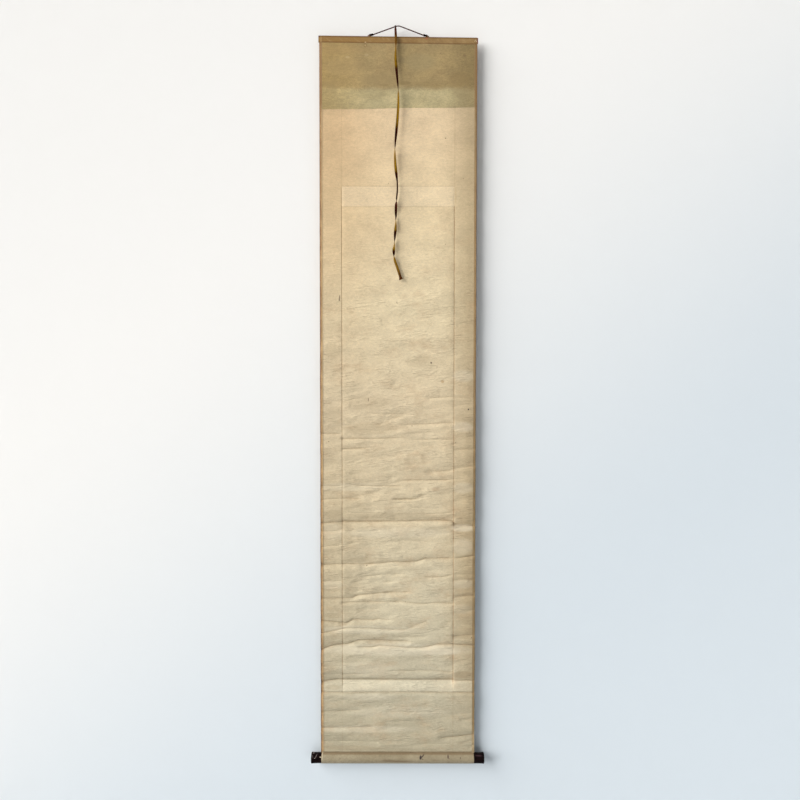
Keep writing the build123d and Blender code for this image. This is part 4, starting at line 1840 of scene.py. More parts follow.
PAPER_STAINS = (
    Stain(339.6, 297.5, 0.0025, 0.0156, (90, 68, 52), 0.9, 0.08),
    Stain(339.2, 300, 0.0028, 0.006, (56, 42, 38), 0.95),
    Stain(368.4, 399.6, 0.0022, 0.0108, (100, 80, 62), 0.8),
    Stain(431.2, 362.8, 0.0043, 0.0058, (66, 50, 44), 0.95, -0.4),
    Stain(468.4, 409.4, 0.0039, 0.005, (52, 42, 38), 0.95),
    Stain(445.5, 138.2, 0.0046, 0.0026, (95, 60, 35), 0.85, 0.4),
    Stain(463.4, 178.8, 0.0027, 0.0024, (120, 88, 60), 0.8),
    Stain(445.6, 244.2, 0.0024, 0.0024, (110, 80, 58), 0.85),
    Stain(388.6, 183.2, 0.0024, 0.0024, (125, 92, 62), 0.8),
    Stain(396.9, 302.6, 0.0032, 0.0067, (140, 118, 90), 0.7, -0.4),
    Stain(442.6, 381.6, 0.0095, 0.009, (168, 128, 82), 0.55),
    Stain(435.4, 489.4, 0.027, 0.012, (176, 142, 108), 0.35),
    Stain(412, 426, 0.0041, 0.0026, (120, 98, 72), 0.7),
    Stain(374.2, 638.6, 0.0081, 0.0024, (105, 88, 66), 0.8),
    Stain(405.4, 602.2, 0.003, 0.0026, (110, 92, 70), 0.8),
    Stain(471.4, 637.6, 0.003, 0.0036, (100, 82, 62), 0.8),
    Stain(366.8, 565.6, 0.003, 0.0031, (110, 90, 66), 0.8),
    Stain(328.8, 441.6, 0.0041, 0.0041, (130, 108, 80), 0.7),
    Stain(455.6, 442.6, 0.0022, 0.0072, (110, 92, 70), 0.7, 0.6),
    Stain(455.9, 195.6, 0.0022, 0.056, (172, 142, 102), 0.6),
    Stain(417, 194.6, 0.0016, 0.046, (190, 160, 120), 0.35),
)
SPECK = srgb(120, 92, 62)


def fibres(shader: Shader, colour: Socket, strength: float) -> Socket:
    """Lays cloudy mottling, fine fibres and specks over a paper colour.

    Args:
        shader: The material's nodes.
        colour: The colour below.
        strength: How strong the mottling is.

    Returns:
        The mottled colour.
    """
    clouds = shader.noise(shader.place((1.0, 1.0, 1.6)), 14.0, 5.0, 0.6)
    shade = shader.span(clouds, 0.30, 0.70, 1 - strength, 1 + strength * 0.6)
    for scale, share in ((420.0, 1.1), (130.0, 0.8)):
        fine = shader.noise(shader.place((1.0, 1.0, 2.0)), scale, 3.0, 0.6)
        shade = shader.product(shade, shader.span(fine, 0.28, 0.72, 1 - strength * share, 1 + strength * share))
    level = shader.node("ShaderNodeCombineColor")
    for socket in level.inputs:
        shader.put(socket, shade)
    colour = shader.mix(1.0, colour, level.outputs[0], "MULTIPLY")
    specks = shader.span(shader.cells(shader.place(), 95.0), 0.035, 0.075, 0.55, 0.0)
    sparse = shader.span(shader.noise(shader.place(), 60.0, 0.0), 0.52, 0.60)
    return shader.over(colour, SPECK, specks, sparse)


@dataclass(frozen=True)
class PaperFinish:
    """Aged handmade paper, warmer at the top and greyer towards the roller, where it is also darker from painted
    falloff of the light.
    """

    name: str = "aged_backing_paper"
    # The stops darken down the sheet: partly the paper's own tone, partly painted falloff of the light from above.
    stops: Stops = (
        (0.04, srgb(231, 205, 165)),
        (0.12, srgb(231, 208, 167)),
        (0.30, srgb(226, 208, 171)),
        (0.50, srgb(216, 197, 163)),
        (0.71, srgb(209, 192, 159)),
        (0.88, srgb(206, 193, 163)),
        (0.98, srgb(187, 177, 151)),
        (1.00, srgb(179, 168, 141)),
    )
    browning: Stops = ((0.04, 0.58), (0.12, 0.47), (0.30, 0.22), (0.50, 0.02), (1.0, 0.0))
    left_dulling: Stops = ((0.50, 0.03), (0.71, 0.27), (0.88, 0.42), (0.98, 0.12), (1.0, 0.0))
    # How strongly painted shade darkens the right margin at each height.
    right_shading: Stops = (
        (0.04, 0.73), (0.12, 0.65), (0.30, 0.76), (0.50, 0.51), (0.71, 0.66), (0.88, 0.79), (0.98, 0.35),
        (1.0, 0.0),
    )
    browned: Colour = srgb(200, 162, 112)
    shaded: Colour = srgb(174, 152, 115)
    upper_strip_tint: Colour = srgb(238, 216, 180)
    lower_strip_tint: Colour = srgb(240, 229, 200)
    patch: Colour = srgb(178, 148, 112)
    soiled_and_shaded: Colour = srgb(128, 98, 66)
    soil_and_shade_share: float = 0.36
    edge_shade: Colour = srgb(120, 104, 76)
    edge_shade_width: float = 0.030
    groove_shade: Colour = srgb(122, 96, 66)
    groove_width: float = 0.0030
    line: Colour = srgb(138, 100, 62)
    line_off: float = 0.0006
    line_core: float = 0.0004
    line_width: float = 0.0017
    inlay_soft: float = 0.001
    browned_to: float = 0.030
    dulled_to: float = -0.030
    shaded_inside: float = 0.05
    mottling: float = 0.075
    # The scale and the depth of each layer of ridges.
    ridges: tuple[tuple[Triple, float], ...] = (((22, 22, 110), 0.00075), ((40, 40, 210), 0.00036))
    ridge_width: float = 0.11

    def margins(self, shader: Shader, height: Socket, colour: Socket) -> Socket:
        """The paper browned at its upper left, dulled along its left side lower down, and darkened by painted
        shade along its right side and edge and in the groove beside the left fold.

        Args:
            shader: The material's nodes.
            height: How far down the sheet a place is, from 0 to 1.
            colour: The colour below.

        Returns:
            The colour with its margins.
        """
        edge = SIZES.half_cover
        left = shader.across(-edge, self.browned_to, 1.0, 0.0)
        margin = shader.across(-edge, self.dulled_to, 1.0, 0.0)
        right = shader.across(SIZES.half_panel - self.shaded_inside, edge)
        colour = shader.over(colour, self.browned, left, shader.ramp(height, self.browning))
        colour = shader.over(colour, self.shaded, margin, shader.ramp(height, self.left_dulling))
        # Painted shade along the right margin.
        colour = shader.over(colour, self.shaded, right, shader.ramp(height, self.right_shading))
        # Painted shade, darkest at the sheet's right edge.
        colour = shader.over(
            colour, self.edge_shade, shader.across(edge - self.edge_shade_width, edge),
            shader.down(-1.05, -0.60, 0.30, 0.10), shader.down(-1.80, -1.65, 0.25, 1.0),
        )
        # Painted shade in the groove beside the left fold, lower down the sheet.
        groove_shade = shader.across(-edge, self.groove_width - edge, 0.55, 0.0)
        return shader.over(colour, self.groove_shade, groove_shade, shader.down(-0.86, -0.78, 1.0, 0.0))

    def patches(self, shader: Shader, height: Socket, colour: Socket) -> Socket:
        """Brownish patches, most of them half way down."""
        cloud = shader.noise(shader.place((1.0, 1.0, 1.7)), 11.0, 7.0, 0.68)
        share = shader.span(cloud, 0.47, 0.72, 0.0, 0.42)
        return shader.over(colour, self.patch, share, shader.span(height, 0.05, 0.32, 0.35, 1.0))

    def inlays(self, shader: Shader, colour: Socket) -> Socket:
        """What shows of the inlaid panel and strips: pale strips and thin brownish lines.

        Args:
            shader: The material's nodes.
            colour: The colour below.

        Returns:
            The colour with them.
        """
        edge = SIZES.half_panel
        inside = shader.span(shader.beside(), edge - self.inlay_soft, edge + self.inlay_soft, 1.0, 0.0)
        upper = shader.band(shader.z, SIZES.panel_top, SIZES.strip_top)
        colour = shader.over(colour, self.upper_strip_tint, upper, inside, 0.40)
        lower = shader.band(shader.z, SIZES.strip_foot, SIZES.panel_foot)
        colour = shader.over(colour, self.lower_strip_tint, lower, shader.span(inside, 0.0, 1.0, 0.20, 0.40))
        for height, share in ((SIZES.strip_top, 0.28), (SIZES.panel_top, 0.26)):
            colour = shader.over(colour, self.line, shader.near(shader.z, height, 0.0003, 0.0013, share), inside)
        return colour

    def side_lines(self, shader: Shader, colour: Socket) -> Socket:
        """The worn brown lines down both sides of the panel.

        Args:
            shader: The material's nodes.
            colour: The colour below.

        Returns:
            The colour with them.
        """
        worn = shader.span(shader.noise(shader.place((1, 1, 0.6)), 60.0, 4.0, 0.7), 0.25, 0.7, 0.55, 1.0)
        return shader.over(
            colour, self.line,
            shader.near(shader.beside(), SIZES.half_panel + self.line_off, self.line_core, self.line_width),
            shader.across(-0.1, 0.1, 0.55, 0.72),
            shader.down(SIZES.panel_top, SIZES.panel_top + 0.004, 1.0, 0.25),
            shader.down(SIZES.panel_foot - 0.02, SIZES.panel_foot, 0.2, 1.0),
            worn,
        )

    def relief(self, shader: Shader, height: Socket) -> Socket:
        """The paper's grain, its wrinkles and its many small sharp ridges.

        Args:
            shader: The material's nodes.
            height: How far down the sheet a place is, from 0 to 1.

        Returns:
            The bumped normal.
        """
        grain = shader.bump(shader.noise(shader.place(), 620.0, 4.0, 0.7), 0.00022, 0.9)
        normal = shader.bump(shader.noise(shader.place((36, 36, 130)), 1.0, 6.0, 0.6), 0.0012, 0.42, grain)
        crushed = shader.span(shader.noise(shader.place((1, 1, 2)), 17.0, 2.0), 0.44, 0.62, 0.12, 1.0)
        lower = shader.span(height, 0.10, 0.34, 0.25, 0.95)
        for scale, depth in self.ridges:
            sharp = shader.near(shader.noise(shader.place(scale), 1.0, 3.0, 0.5), 0.5, 0.0, self.ridge_width)
            normal = shader.bump(shader.product(sharp, crushed, lower), depth, 0.9, normal)
        return normal

    def make(self) -> Material:
        """Makes the material.

        Returns:
            The material.
        """
        shader = Shader(self.name, roughness=0.88)
        height = shader.down(SIZES.flap_end, SIZES.roller_crease)
        colour = self.margins(shader, height, shader.ramp(height, self.stops))
        colour = self.inlays(shader, self.patches(shader, height, colour))
        colour = self.side_lines(shader, fibres(shader, colour, self.mottling))
        # The dark line along the deepest folds: soil, and painted shade in the creases.
        colour = shader.over(colour, self.soiled_and_shaded, shader.stored("soil_and_shade"), self.soil_and_shade_share)
        colour = stained(shader, colour, PAPER_PATCHES + PAPER_STAINS)
        return shader.done(colour, self.relief(shader, height))


@dataclass(frozen=True)
class ClothFinish:
    """A plain woven cloth, mottled by age."""

    name: str
    colour: Colour
    blotch: Colour
    blotch_scale: float = 22.0
    thread: float = 0.0007
    weave_depth: float = 0.00008
    mottling: float = 0.08
    sheen: float = 0.15

    def base(self, shader: Shader) -> Socket:
        """The mottled colour of the cloth."""
        clouds = shader.span(shader.noise(shader.place(), self.blotch_scale, 6.0, 0.65), 0.32, 0.68)
        return fibres(shader, shader.mix(clouds, self.colour, self.blotch), self.mottling)

    def relief(self, shader: Shader) -> Socket:
        """The bump of the threads and of the cloth's unevenness."""
        uneven = shader.bump(shader.noise(shader.place(), 90.0, 4.0, 0.6), 0.0006, 0.5)
        threads = shader.product(shader.ribs(shader.x, self.thread), shader.ribs(shader.z, self.thread))
        return shader.bump(threads, self.weave_depth, 0.8, uneven)

    def make(self) -> Material:
        """Makes the material."""
        shader = Shader(self.name, roughness=0.82)
        shader.surface_value("Sheen Weight", self.sheen)
        return shader.done(self.base(shader), self.relief(shader))


@dataclass(frozen=True)
class EdgeFinish(ClothFinish):
    """The mounting cloth, darkest along its outer edge."""

    rim: Colour = srgb(104, 64, 38)
    low_rim: Colour = srgb(92, 68, 46)
    rim_width: float = 0.0030
    rim_core: float = 0.0010
    wander: float = 0.0007
    fold_edge_highlight: Colour = srgb(208, 182, 142)
    line_off: float = 0.0003
    shaded: Colour = srgb(128, 107, 71)
    top_brown: Colour = srgb(140, 104, 60)
    worn_corner: Colour = srgb(166, 146, 112)

    def base(self, shader: Shader) -> Socket:
        """The cloth's colour with a dark worn rim and a painted highlight along the fold's inner edge.

        Args:
            shader: The material's nodes.

        Returns:
            The colour.
        """
        uneven = shader.span(shader.noise(shader.place(), 45.0, 4.0, 0.7), 0.3, 0.7, -self.wander, self.wander)
        beside = shader.calc("ADD", shader.beside(), uneven)
        # Painted highlight where the fold's inner edge catches the light.
        inner = shader.near(beside, SIZES.half_cover + self.line_off, 0.0003, 0.0012, 0.6)
        colour = shader.over(super().base(shader), self.fold_edge_highlight, inner)
        outer = SIZES.half_sheet
        rim = shader.span(beside, outer - self.rim_width, outer - self.rim_core, 0.0, 0.9)
        colour = shader.over(colour, shader.mix(shader.down(-1.5, -0.9), self.low_rim, self.rim), rim)
        right = shader.across(0.1, 0.2)
        colour = shader.over(colour, self.shaded, right, shader.down(-1.4, -0.5, 1.0, 0.5), 0.85)
        colour = shader.over(colour, self.worn_corner, right, shader.down(-1.89, -1.82, 0.8, 0.0))
        return shader.over(colour, self.top_brown, shader.down(-0.24, -0.19, 0.0, 0.75))


@dataclass(frozen=True)
class RodBandFinish(ClothFinish):
    """The mounting cloth on the rod: with painted highlights in slanting streaks, painted shade along both edges
    and a dark line at its foot, and worn at both ends, where the right end's fold is painted in light and shade.
    """

    # Colour of the painted shade along both edges, and of the dark line at the foot.
    line: Colour = srgb(104, 66, 22)
    browned: Colour = srgb(146, 107, 43)
    streak_highlight: Colour = srgb(190, 160, 108)
    streak_turn: float = math.radians(35)
    # Where the painted shade below the rod's top ends and is full, and the core and reach of the painted crease
    # shadow and dark line at its foot.
    top_shade_line: Pair = (0.0042, 0.0012)
    foot_line: Pair = (0.0005, 0.0018)
    colour_spots: tuple[Stain, ...] = (
        Stain(321, 40.5, 0.0052, 0.025, (176, 142, 90), 0.6),
        Stain(322.9, 40.5, 0.0016, 0.02, (122, 88, 44), 0.75),
        Stain(319.4, 36.4, 0.007, 0.0052, (86, 42, 22), 0.9),
        Stain(426.6, 38.6, 0.0075, 0.0042, (164, 84, 54), 0.85),
        Stain(365.4, 42.4, 0.005, 0.0032, (200, 172, 122), 0.8),
        Stain(400.6, 41, 0.013, 0.01, (112, 84, 44), 0.4),
        # The slanting fold at the right end: painted shade under it and painted highlights along it.
        Stain(477.4, 40.8, 0.004, 0.015, (108, 48, 28), 0.9),
        Stain(475.2, 40.8, 0.009, 0.0016, (206, 180, 136), 0.8, -0.9),
        Stain(476.4, 41.4, 0.0026, 0.0028, (220, 198, 160), 0.9),
    )

    def base(self, shader: Shader) -> Socket:
        """The cloth's colour with painted highlights in streaks, painted shade along both edges with a dark line
        at the foot, and the marks at its ends.

        Args:
            shader: The material's nodes.

        Returns:
            The colour.
        """
        colour = shader.over(super().base(shader), self.browned, shader.across(-0.12, 0.10, 0.75, 0.0))
        # Pale slanting streaks: painted highlights on the rod cloth.
        streaks = shader.noise(shader.place((40, 40, 200), turn=self.streak_turn), 1.0, 5.0, 0.6)
        colour = shader.over(colour, self.streak_highlight, shader.span(streaks, 0.5, 0.75, 0.0, 0.32))
        level = shader.calc("MULTIPLY_ADD", shader.x, SIZES.rod_slope, shader.z)
        top = shader.span(level, *(SIZES.rod_top - depth for depth in self.top_shade_line), 0.0, 0.95)
        foot = shader.near(level, SIZES.wrap_foot, *self.foot_line, 0.6)
        # Painted shade along the top, and the painted crease shadow with a dark line at the foot.
        colour = shader.over(colour, self.line, shader.calc("MAXIMUM", top, foot))
        return stained(shader, colour, self.colour_spots)


@dataclass(frozen=True)
class RollerFinish(ClothFinish):
    """The cloth on the roller: greyish, with spots, a dark underside and a painted shadow in the crease above it.
    """

    dulled: Colour = srgb(138, 125, 98)
    under: Colour = srgb(140, 120, 82)
    fleck: Colour = srgb(106, 84, 54)
    # Colour of the painted shadow in the crease above the roller.
    crease: Colour = srgb(116, 92, 58)
    colour_spots: tuple[Stain, ...] = (
        Stain(420.6, 758.2, 0.0064, 0.01, (40, 26, 22), 1, 0.15),
        Stain(422.6, 757.2, 0.012, 0.003, (58, 40, 30), 0.95, -0.62),
        Stain(422.6, 759.4, 0.007, 0.003, (84, 64, 48), 0.7, 0.6),
        Stain(448.2, 757.6, 0.005, 0.0085, (76, 56, 42), 0.9),
        Stain(449.2, 759, 0.005, 0.0026, (104, 84, 62), 0.6),
        Stain(460.5, 758.5, 0.003, 0.006, (90, 72, 54), 0.75),
        Stain(410.5, 755, 0.0046, 0.0026, (96, 78, 58), 0.6),
        Stain(472.6, 753.6, 0.006, 0.0044, (66, 46, 34), 0.85),
        Stain(396, 761.4, 0.09, 0.005, (104, 82, 54), 0.7),
        Stain(388, 760.2, 0.04, 0.0036, (104, 84, 56), 0.6),
        Stain(340, 759, 0.0036, 0.0032, (104, 84, 60), 0.7),
        Stain(436, 760.4, 0.024, 0.003, (118, 98, 70), 0.5),
        Stain(322, 757.6, 0.003, 0.02, (206, 192, 160), 0.7),
    )

    def base(self, shader: Shader) -> Socket:
        """The cloth's colour with its spots.

        Args:
            shader: The material's nodes.

        Returns:
            The colour.
        """
        middle = SIZES.roller_height
        colour = shader.over(super().base(shader), self.dulled, shader.across(-0.05, 0.18, 0.12, 0.6))
        colour = shader.over(colour, self.under, shader.down(middle - 0.012, middle - 0.005, 0.45, 0.0))
        flecks = shader.span(shader.noise(shader.place((1, 1, 1.8)), 130.0, 6.0, 0.75), 0.46, 0.62, 0.0, 0.6)
        colour = shader.over(colour, self.fleck, flecks, shader.down(middle - 0.010, middle + 0.004, 1.0, 0.35))
        # Painted shadow in the crease where the sheet meets the roller.
        crease = shader.near(shader.z, SIZES.roller_crease, 0.0006, 0.0030, 0.65)
        return stained(shader, shader.over(colour, self.crease, crease), self.colour_spots, SIZES.roller_radius)


@dataclass(frozen=True)
class CoverFinish(ClothFinish):
    """The olive silk of the cover band, browner above an old tide line."""

    mottling: float = 0.14
    upper: Colour = srgb(165, 141, 93)
    lower: Colour = srgb(189, 173, 128)
    left_tint: Colour = srgb(175, 144, 80)
    right_tint: Colour = srgb(138, 116, 70)
    ring: Colour = srgb(146, 124, 80)
    tide_row: float = 86.6
    tide_wander: float = 0.005
    colour_spots: tuple[Stain, ...] = (
        Stain(464.5, 55.5, 0.009, 0.007, (125, 98, 62), 0.6),
        Stain(440.6, 53.2, 0.003, 0.003, (120, 100, 70), 0.8),
        Stain(428.8, 45.2, 0.01, 0.003, (135, 112, 80), 0.6),
        Stain(347.5, 57.2, 0.013, 0.007, (190, 165, 115), 0.6),
        Stain(366.5, 55, 0.012, 0.008, (182, 158, 112), 0.5),
        Stain(402, 60, 0.018, 0.02, (140, 122, 84), 0.5),
        Stain(404, 83, 0.042, 0.011, (138, 116, 72), 0.62),
        Stain(384, 85, 0.03, 0.008, (142, 120, 76), 0.58),
        Stain(378, 80, 0.1, 0.032, (149, 127, 83), 0.5),
        Stain(374, 94, 0.09, 0.033, (160, 142, 98), 0.35),
        Stain(464, 92, 0.07, 0.033, (142, 124, 84), 0.35),
        Stain(460, 79, 0.07, 0.044, (136, 112, 68), 0.5),
        Stain(440, 84, 0.15, 0.02, (146, 123, 76), 0.3),
        Stain(346, 49, 0.18, 0.03, (158, 128, 80), 0.3),
        Stain(344, 67, 0.12, 0.056, (184, 156, 106), 0.22),
        Stain(333, 84, 0.06, 0.03, (158, 132, 84), 0.35),
        Stain(420, 62, 0.09, 0.05, (158, 142, 100), 0.35),
        Stain(365.2, 45.4, 0.0086, 0.0122, (124, 96, 48), 0.7),
        Stain(365.2, 45.4, 0.004, 0.0066, (180, 154, 104), 0.9),
        Stain(475.6, 44.6, 0.008, 0.0042, (140, 92, 34), 0.8, 0.5),
        Stain(475.2, 87.7, 0.003, 0.003, (205, 188, 150), 0.8),
    )

    def base(self, shader: Shader) -> Socket:
        """The silk's colour with the tide line and stains.

        Args:
            shader: The material's nodes.

        Returns:
            The colour.
        """
        wander = shader.noise(shader.place((1, 1, 0.5)), 9.0, 5.0, 0.6)
        level = shader.calc("ADD", shader.z, shader.span(wander, 0.2, 0.8, -self.tide_wander, self.tide_wander))
        tide = VIEWPOINT.level(self.tide_row)
        above = shader.span(level, tide - 0.013, tide + 0.006)
        colour = shader.mix(above, self.lower, self.upper)
        colour = shader.over(colour, self.ring, shader.near(level, tide, 0.001, 0.014, 0.22))
        patches = shader.span(shader.noise(shader.place(), 15.0, 7.0, 0.68), 0.42, 0.66, 0.0, 0.5)
        colour = shader.over(colour, self.blotch, patches, shader.span(above, 0.0, 1.0, 0.3, 1.0))
        edge = shader.across(0.10, SIZES.half_cover)
        colour = shader.over(colour, self.right_tint, edge, shader.span(above, 0.0, 1.0, 0.62, 0.85))
        colour = shader.over(colour, self.left_tint, shader.across(-SIZES.half_cover, -0.05, 0.6, 0.0))
        return stained(shader, fibres(shader, colour, self.mottling), self.colour_spots)


@dataclass(frozen=True)
class WoodFinish:
    """Bare wood with grain along the rod."""

    name: str
    pale: Colour
    dark: Colour
    grain: Triple = (18, 420, 420)

    def make(self) -> Material:
        """Makes the material."""
        shader = Shader(self.name, roughness=0.6)
        grain = shader.noise(shader.place(self.grain), 1.0, 6.0, 0.65)
        colour = shader.mix(shader.span(grain, 0.3, 0.7), self.pale, self.dark)
        return shader.done(colour, shader.bump(grain, 0.0003, 0.6))


@dataclass(frozen=True)
class LacquerFinish:
    """Near-black lacquer, rubbed and chipped so that grey wood shows, with a painted highlight along the right
    knob.
    """

    name: str = "worn_dark_lacquer"
    dark: Colour = srgb(9, 4, 5)
    brown: Colour = srgb(21, 10, 9)
    bare: Colour = srgb(128, 116, 106)
    shine: float = 0.03
    colour_spots: tuple[Stain, ...] = (
        Stain(315.4, 753.6, 0.003, 0.0022, (170, 160, 150), 0.9),
        Stain(313.2, 755.2, 0.0042, 0.0034, (120, 112, 108), 0.8),
        Stain(315.8, 757.3, 0.0018, 0.0098, (122, 112, 108), 0.85, 0.6),
        Stain(312.6, 757.4, 0.0016, 0.006, (104, 92, 92), 0.75, -0.2),
        Stain(317.6, 754.2, 0.0016, 0.0046, (112, 100, 98), 0.75, 0.9),
        # Painted highlight: the window's reflection along the right knob, as a pale streak.
        Stain(479, 756.9, 0.02, 0.0024, (72, 52, 56), 0.7),
        Stain(478.6, 759.6, 0.02, 0.002, (42, 18, 18), 0.4),
        Stain(314.5, 758.6, 0.0016, 0.0016, (190, 180, 170), 0.9),
        Stain(320.3, 757.8, 0.005, 0.0026, (196, 182, 158), 0.9, 0.3),
    )

    def make(self) -> Material:
        """Makes the material.

        Returns:
            The material.
        """
        shader = Shader(self.name, roughness=0.5)
        shader.surface_value("Specular IOR Level", self.shine)
        rubbed = shader.span(shader.noise(shader.place(), 160.0, 5.0), 0.35, 0.7)
        colour = shader.mix(rubbed, self.dark, self.brown)
        chips = shader.noise(shader.place((1, 1, 1.4)), 210.0, 6.0, 0.72)
        left_end = shader.span(shader.across(-0.20, 0.0, 1.0, 0.0), 0.0, 1.0, 0.08, 0.8)
        colour = shader.over(colour, self.bare, shader.span(chips, 0.62, 0.68), left_end)
        colour = stained(shader, colour, self.colour_spots, SIZES.roller_radius)
        shader.surface_value("Roughness", shader.span(chips, 0.5, 0.66, 0.42, 0.8))
        return shader.done(colour, shader.bump(chips, 0.0004, 0.35))


@dataclass(frozen=True)
class MetalFinish:
    """Old metal, patchy with rust or tarnish."""

    name: str
    bright: Colour
    dull: Colour
    scale: float = 900.0
    metallic: float = 0.75

    def make(self) -> Material:
        """Makes the material.

        Returns:
            The material.
        """
        shader = Shader(self.name, roughness=0.55)
        shader.surface_value("Metallic", self.metallic)
        patches = shader.noise(shader.place(), self.scale, 5.0, 0.65)
        shader.surface_value("Roughness", shader.span(patches, 0.35, 0.65, 0.4, 0.85))
        colour = shader.mix(shader.span(patches, 0.4, 0.6), self.bright, self.dull)
        return shader.done(colour, shader.bump(patches, 0.0002, 0.6))


@dataclass(frozen=True)
class SilkFinish:
    """Silk thread or tape, with a fine rib and worn places."""

    name: str
    colour: Colour
    worn: Colour
    rib: float = 0.0006
    rib_depth: float = 0.00006
    fuzz_depth: float = 0.0001
    shine: float = 0.05

    def base(self, shader: Shader) -> Socket:
        """The silk's colour with its worn places."""
        worn = shader.span(shader.noise(shader.place((1, 1, 0.35)), 260.0, 4.0, 0.6), 0.38, 0.72)
        return shader.mix(worn, self.colour, self.worn)

    def make(self) -> Material:
        """Makes the material.

        Returns:
            The material.
        """
        shader = Shader(self.name, roughness=0.75)
        shader.surface_value("Specular IOR Level", self.shine)
        ribs = shader.bump(shader.ribs(shader.z, self.rib), self.rib_depth, 0.7)
        fuzz = shader.bump(shader.noise(shader.place(), 2400.0, 3.0), self.fuzz_depth, 0.6, ribs)
        return shader.done(self.base(shader), fuzz)


@dataclass(frozen=True)
class TapeFinish(SilkFinish):
    """The ribbon's silk: olive gold, turned maroon brown by the share that the mesh stores, partly its dye and
    partly painted shade where it turns from the light.
    """

    maroon: Colour = srgb(54, 16, 2)

    def base(self, shader: Shader) -> Socket:
        """The tape's colour along its length, with the painted shade and dye that the mesh stores."""
        return shader.over(super().base(shader), self.maroon, shader.stored("dye_and_shade"))


class Finishes:
    """Every finish of the scroll, and the pieces that wear it."""

    def __init__(self) -> None:
        """Makes the materials, and lists which pieces wear them."""
        panel = ClothFinish("aged_panel_paper", srgb(214, 190, 146), srgb(198, 170, 124), 9.0, 0.0011, 0.00004)
        strip = ClothFinish("dull_strip_silk", srgb(150, 126, 78), srgb(126, 100, 58), 30.0)
        cover = CoverFinish("olive_cover_silk", srgb(176, 158, 112), srgb(158, 132, 86), thread=0.0006)
        edge = EdgeFinish("worn_edge_cloth", srgb(190, 154, 104), srgb(164, 130, 86))
        rod_band = RodBandFinish("rubbed_rod_cloth", srgb(157, 126, 76), srgb(136, 103, 54))
        roller = RollerFinish("spotted_roller_cloth", srgb(162, 150, 122), srgb(140, 127, 99))
        wood = WoodFinish("red_brown_wood", srgb(126, 72, 44), srgb(84, 42, 26))
        iron = MetalFinish("rusted_iron", srgb(112, 84, 70), srgb(96, 52, 30))
        brass = MetalFinish("tarnished_brass", srgb(176, 140, 84), srgb(110, 84, 48), 500.0)
        maroon = SilkFinish("maroon_cord_silk", srgb(44, 4, 8), srgb(62, 16, 16)).make()
        tan = SilkFinish("faded_cord_silk", srgb(92, 48, 42), srgb(66, 30, 28)).make()
        knot = SilkFinish("dark_knot_silk", srgb(22, 8, 8), srgb(44, 18, 16)).make()
        gold = TapeFinish("olive_gold_tape", srgb(122, 90, 12), srgb(92, 65, 8))
        dark = SilkFinish("dark_tape", srgb(58, 26, 6), srgb(42, 16, 4))
        self.worn = (
            ((PaperFinish().make(),), "creased_backing"),
            ((cover.make(),), "cover_silk_band"),
            ((panel.make(),), "blank_panel"),
            ((strip.make(),), "upper_silk_strip", "lower_silk_strip"),
            ((edge.make(),), "mounting_sheet"),
            ((rod_band.make(),), "rod_wrap"),
            ((roller.make(),), "roller_wrap"),
            ((wood.make(),), "top_rod", "roller_rod"),
            ((LacquerFinish().make(),), "left_knob", "right_knob"),
            ((iron.make(),), "left_eyelet", "right_eyelet"),
            ((brass.make(),), "left_washer", "right_washer"),
            ((maroon, tan), "twisted_cord"),
            ((knot, tan), "left_knot_windings", "right_knot_windings"),
            ((gold.make(),), "hanging_ribbon"),
            ((dark.make(),), "ribbon_loop"),
        )

    def dress(self) -> None:
        """Gives every shown piece its materials."""
        for materials, *names in self.worn:
            for name in names:
                slots = bpy.data.objects[name].data.materials
                while len(slots) < len(materials):
                    slots.append(None)
                for index, material in enumerate(materials):
                    slots[index] = material
                LOG.info("%s wears %s", name, materials[0].name)


@dataclass(frozen=True)
class Lamp:
    """A soft lamp that shines on the scroll from a direction."""

    name: str
    towards: Triple
    softness: float
    power: float

    def build(self) -> None:
        """Builds the lamp."""
        data = bpy.data.lights.new(self.name, "SUN")
        data.angle = self.softness
        data.energy = self.power
        lamp = bpy.data.objects.new(self.name, data)
        lamp.rotation_euler = Vector(self.towards).to_track_quat("Z", "Y").to_euler()
        bpy.context.scene.collection.objects.link(lamp)


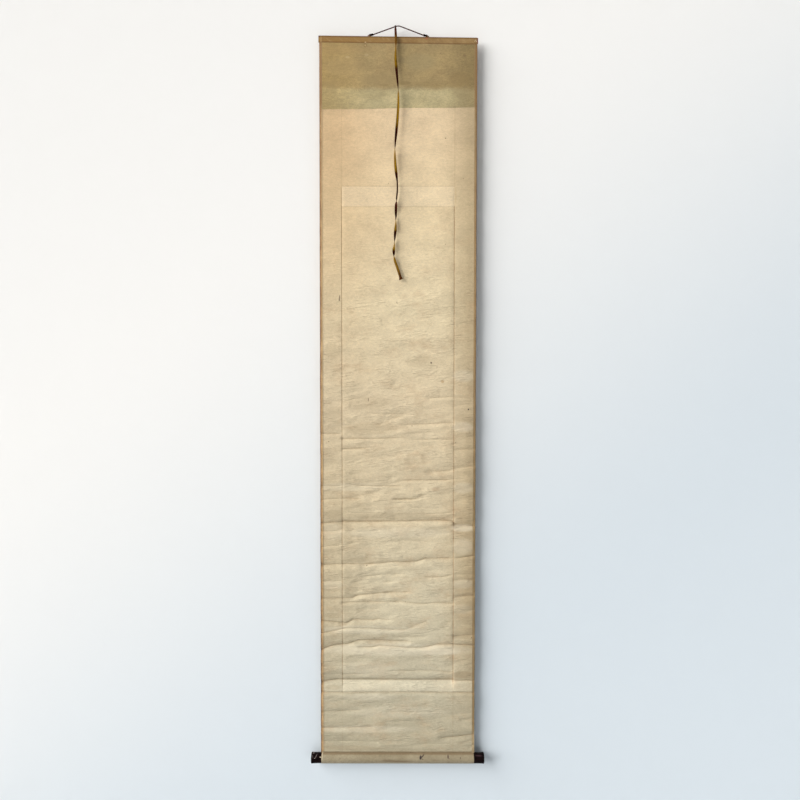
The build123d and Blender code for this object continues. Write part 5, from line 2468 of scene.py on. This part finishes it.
@dataclass
class Studio:
    """The plain pale stage and its soft light."""

    wall_gap: float = 0.0050
    wall_size: float = 7.0
    floor_drop: float = 0.22
    floor_size: float = 12.0
    wall_top: Colour = srgb(249, 247, 243)
    wall_foot: Colour = srgb(216, 224, 229)
    wall_slant: float = 0.75
    floor_colour: Colour = (0.55, 0.56, 0.57)
    world_colour: Colour = (1.0, 1.0, 1.0)
    world_level: float = 0.25
    lamps: tuple[Lamp, ...] = (
        Lamp("window_light", (-0.84, -0.345, 0.42), 0.98, 5.45),
        Lamp("picture_side_light", (-0.45, 0.75, 0.40), 0.6, 2.0),
    )

    def plane(self, name: str, corners: Sequence[Triple], finish: Material) -> None:
        """Builds one flat face of the stage.

        Args:
            name: Its name.
            corners: Its corners.
            finish: Its material.
        """
        mesh = bpy.data.meshes.new(name)
        mesh.from_pydata(corners, [], [tuple(range(len(corners)))])
        made = bpy.data.objects.new(name, mesh)
        bpy.context.scene.collection.objects.link(made)
        mesh.materials.append(finish)

    def matt(self, name: str) -> Shader:
        """Starts a plain matt finish for the stage."""
        shader = Shader(name, roughness=0.9)
        shader.surface_value("Specular IOR Level", 0.0)
        return shader

    def floor_finish(self) -> Material:
        """The floor's plain finish."""
        shader = self.matt("pale_floor")
        cloud = shader.span(shader.noise(shader.place(), 2.5, 2.0), 0.3, 0.7, 0.0, 0.03)
        return shader.done(shader.mix(cloud, self.floor_colour, self.wall_foot))

    def wall_finish(self) -> Material:
        """The wall's finish, a little darker and cooler towards the lower right, as painted falloff of the light.

        From behind, the wall is clear, and it lets light through to what is looked at there, but not to what only
        lights the wall again.

        Returns:
            The material.
        """
        shader = self.matt("pale_wall")
        slant = shader.calc("SUBTRACT", shader.z, shader.product(shader.x, self.wall_slant))
        shader.done(shader.mix(shader.span(slant, -1.9, -0.2), self.wall_foot, self.wall_top))
        behind = shader.node("ShaderNodeNewGeometry").outputs["Backfacing"]
        path = shader.node("ShaderNodeLightPath").outputs
        passing = shader.product(path["Is Shadow Ray"], shader.calc("LESS_THAN", path["Diffuse Depth"], 0.5))
        clear = shader.node("ShaderNodeBsdfTransparent").outputs[0]
        both = shader.node("ShaderNodeMixShader")
        values = (shader.calc("MAXIMUM", behind, passing), shader.surface.outputs[0], clear)
        for socket, value in zip(both.inputs, values):
            shader.put(socket, value)
        shader.put(shader.tree.nodes["Material Output"].inputs["Surface"], both.outputs[0])
        return shader.material

    def light_world(self) -> None:
        """Makes an even world light, white where it is seen itself."""
        world = bpy.data.worlds.new("studio_world")
        bpy.context.scene.world = world
        world.use_nodes = True
        nodes = Nodes(world.node_tree)
        path = nodes.node("ShaderNodeLightPath").outputs
        seen = nodes.calc("MAXIMUM", path["Is Camera Ray"], path["Is Glossy Ray"])
        seen = nodes.calc("MAXIMUM", seen, path["Is Transmission Ray"])
        level = nodes.calc("MAXIMUM", seen, self.world_level)
        nodes.fed(nodes.tree.nodes["Background"], Color=self.world_colour, Strength=level)

    def build(self) -> None:
        """Builds wall, floor, lamps and world."""
        low, high = CAD_BOX
        back, foot = high.y + self.wall_gap, low.z - self.floor_drop
        reach, top, side = self.wall_size / 2, foot + self.wall_size, self.floor_size / 2
        wall = [(-reach, back, foot), (reach, back, foot), (reach, back, top), (-reach, back, top)]
        floor = [(-side, -side, foot), (side, -side, foot), (side, side, foot), (-side, side, foot)]
        self.plane("wall", wall, self.wall_finish())
        self.plane("floor", floor, self.floor_finish())
        for lamp in self.lamps:
            lamp.build()
        self.light_world()


def main() -> None:
    """Builds the scroll, dresses it and lights it."""
    logging.basicConfig(level=logging.INFO, format="%(name)s: %(message)s")
    bpy.context.scene.view_settings.view_transform = "Standard"
    VIEWPOINT.make_camera()
    HangingCord().build()
    WindingRibbon().build()
    RibbonLoop().build()
    for side in Side:
        CordKnot(side).build()
    LinedSheet().build()
    RodWrap().build()
    RollerWrap().build()
    Finishes().dress()
    Studio().build()


if __name__ == "__main__":
    main()
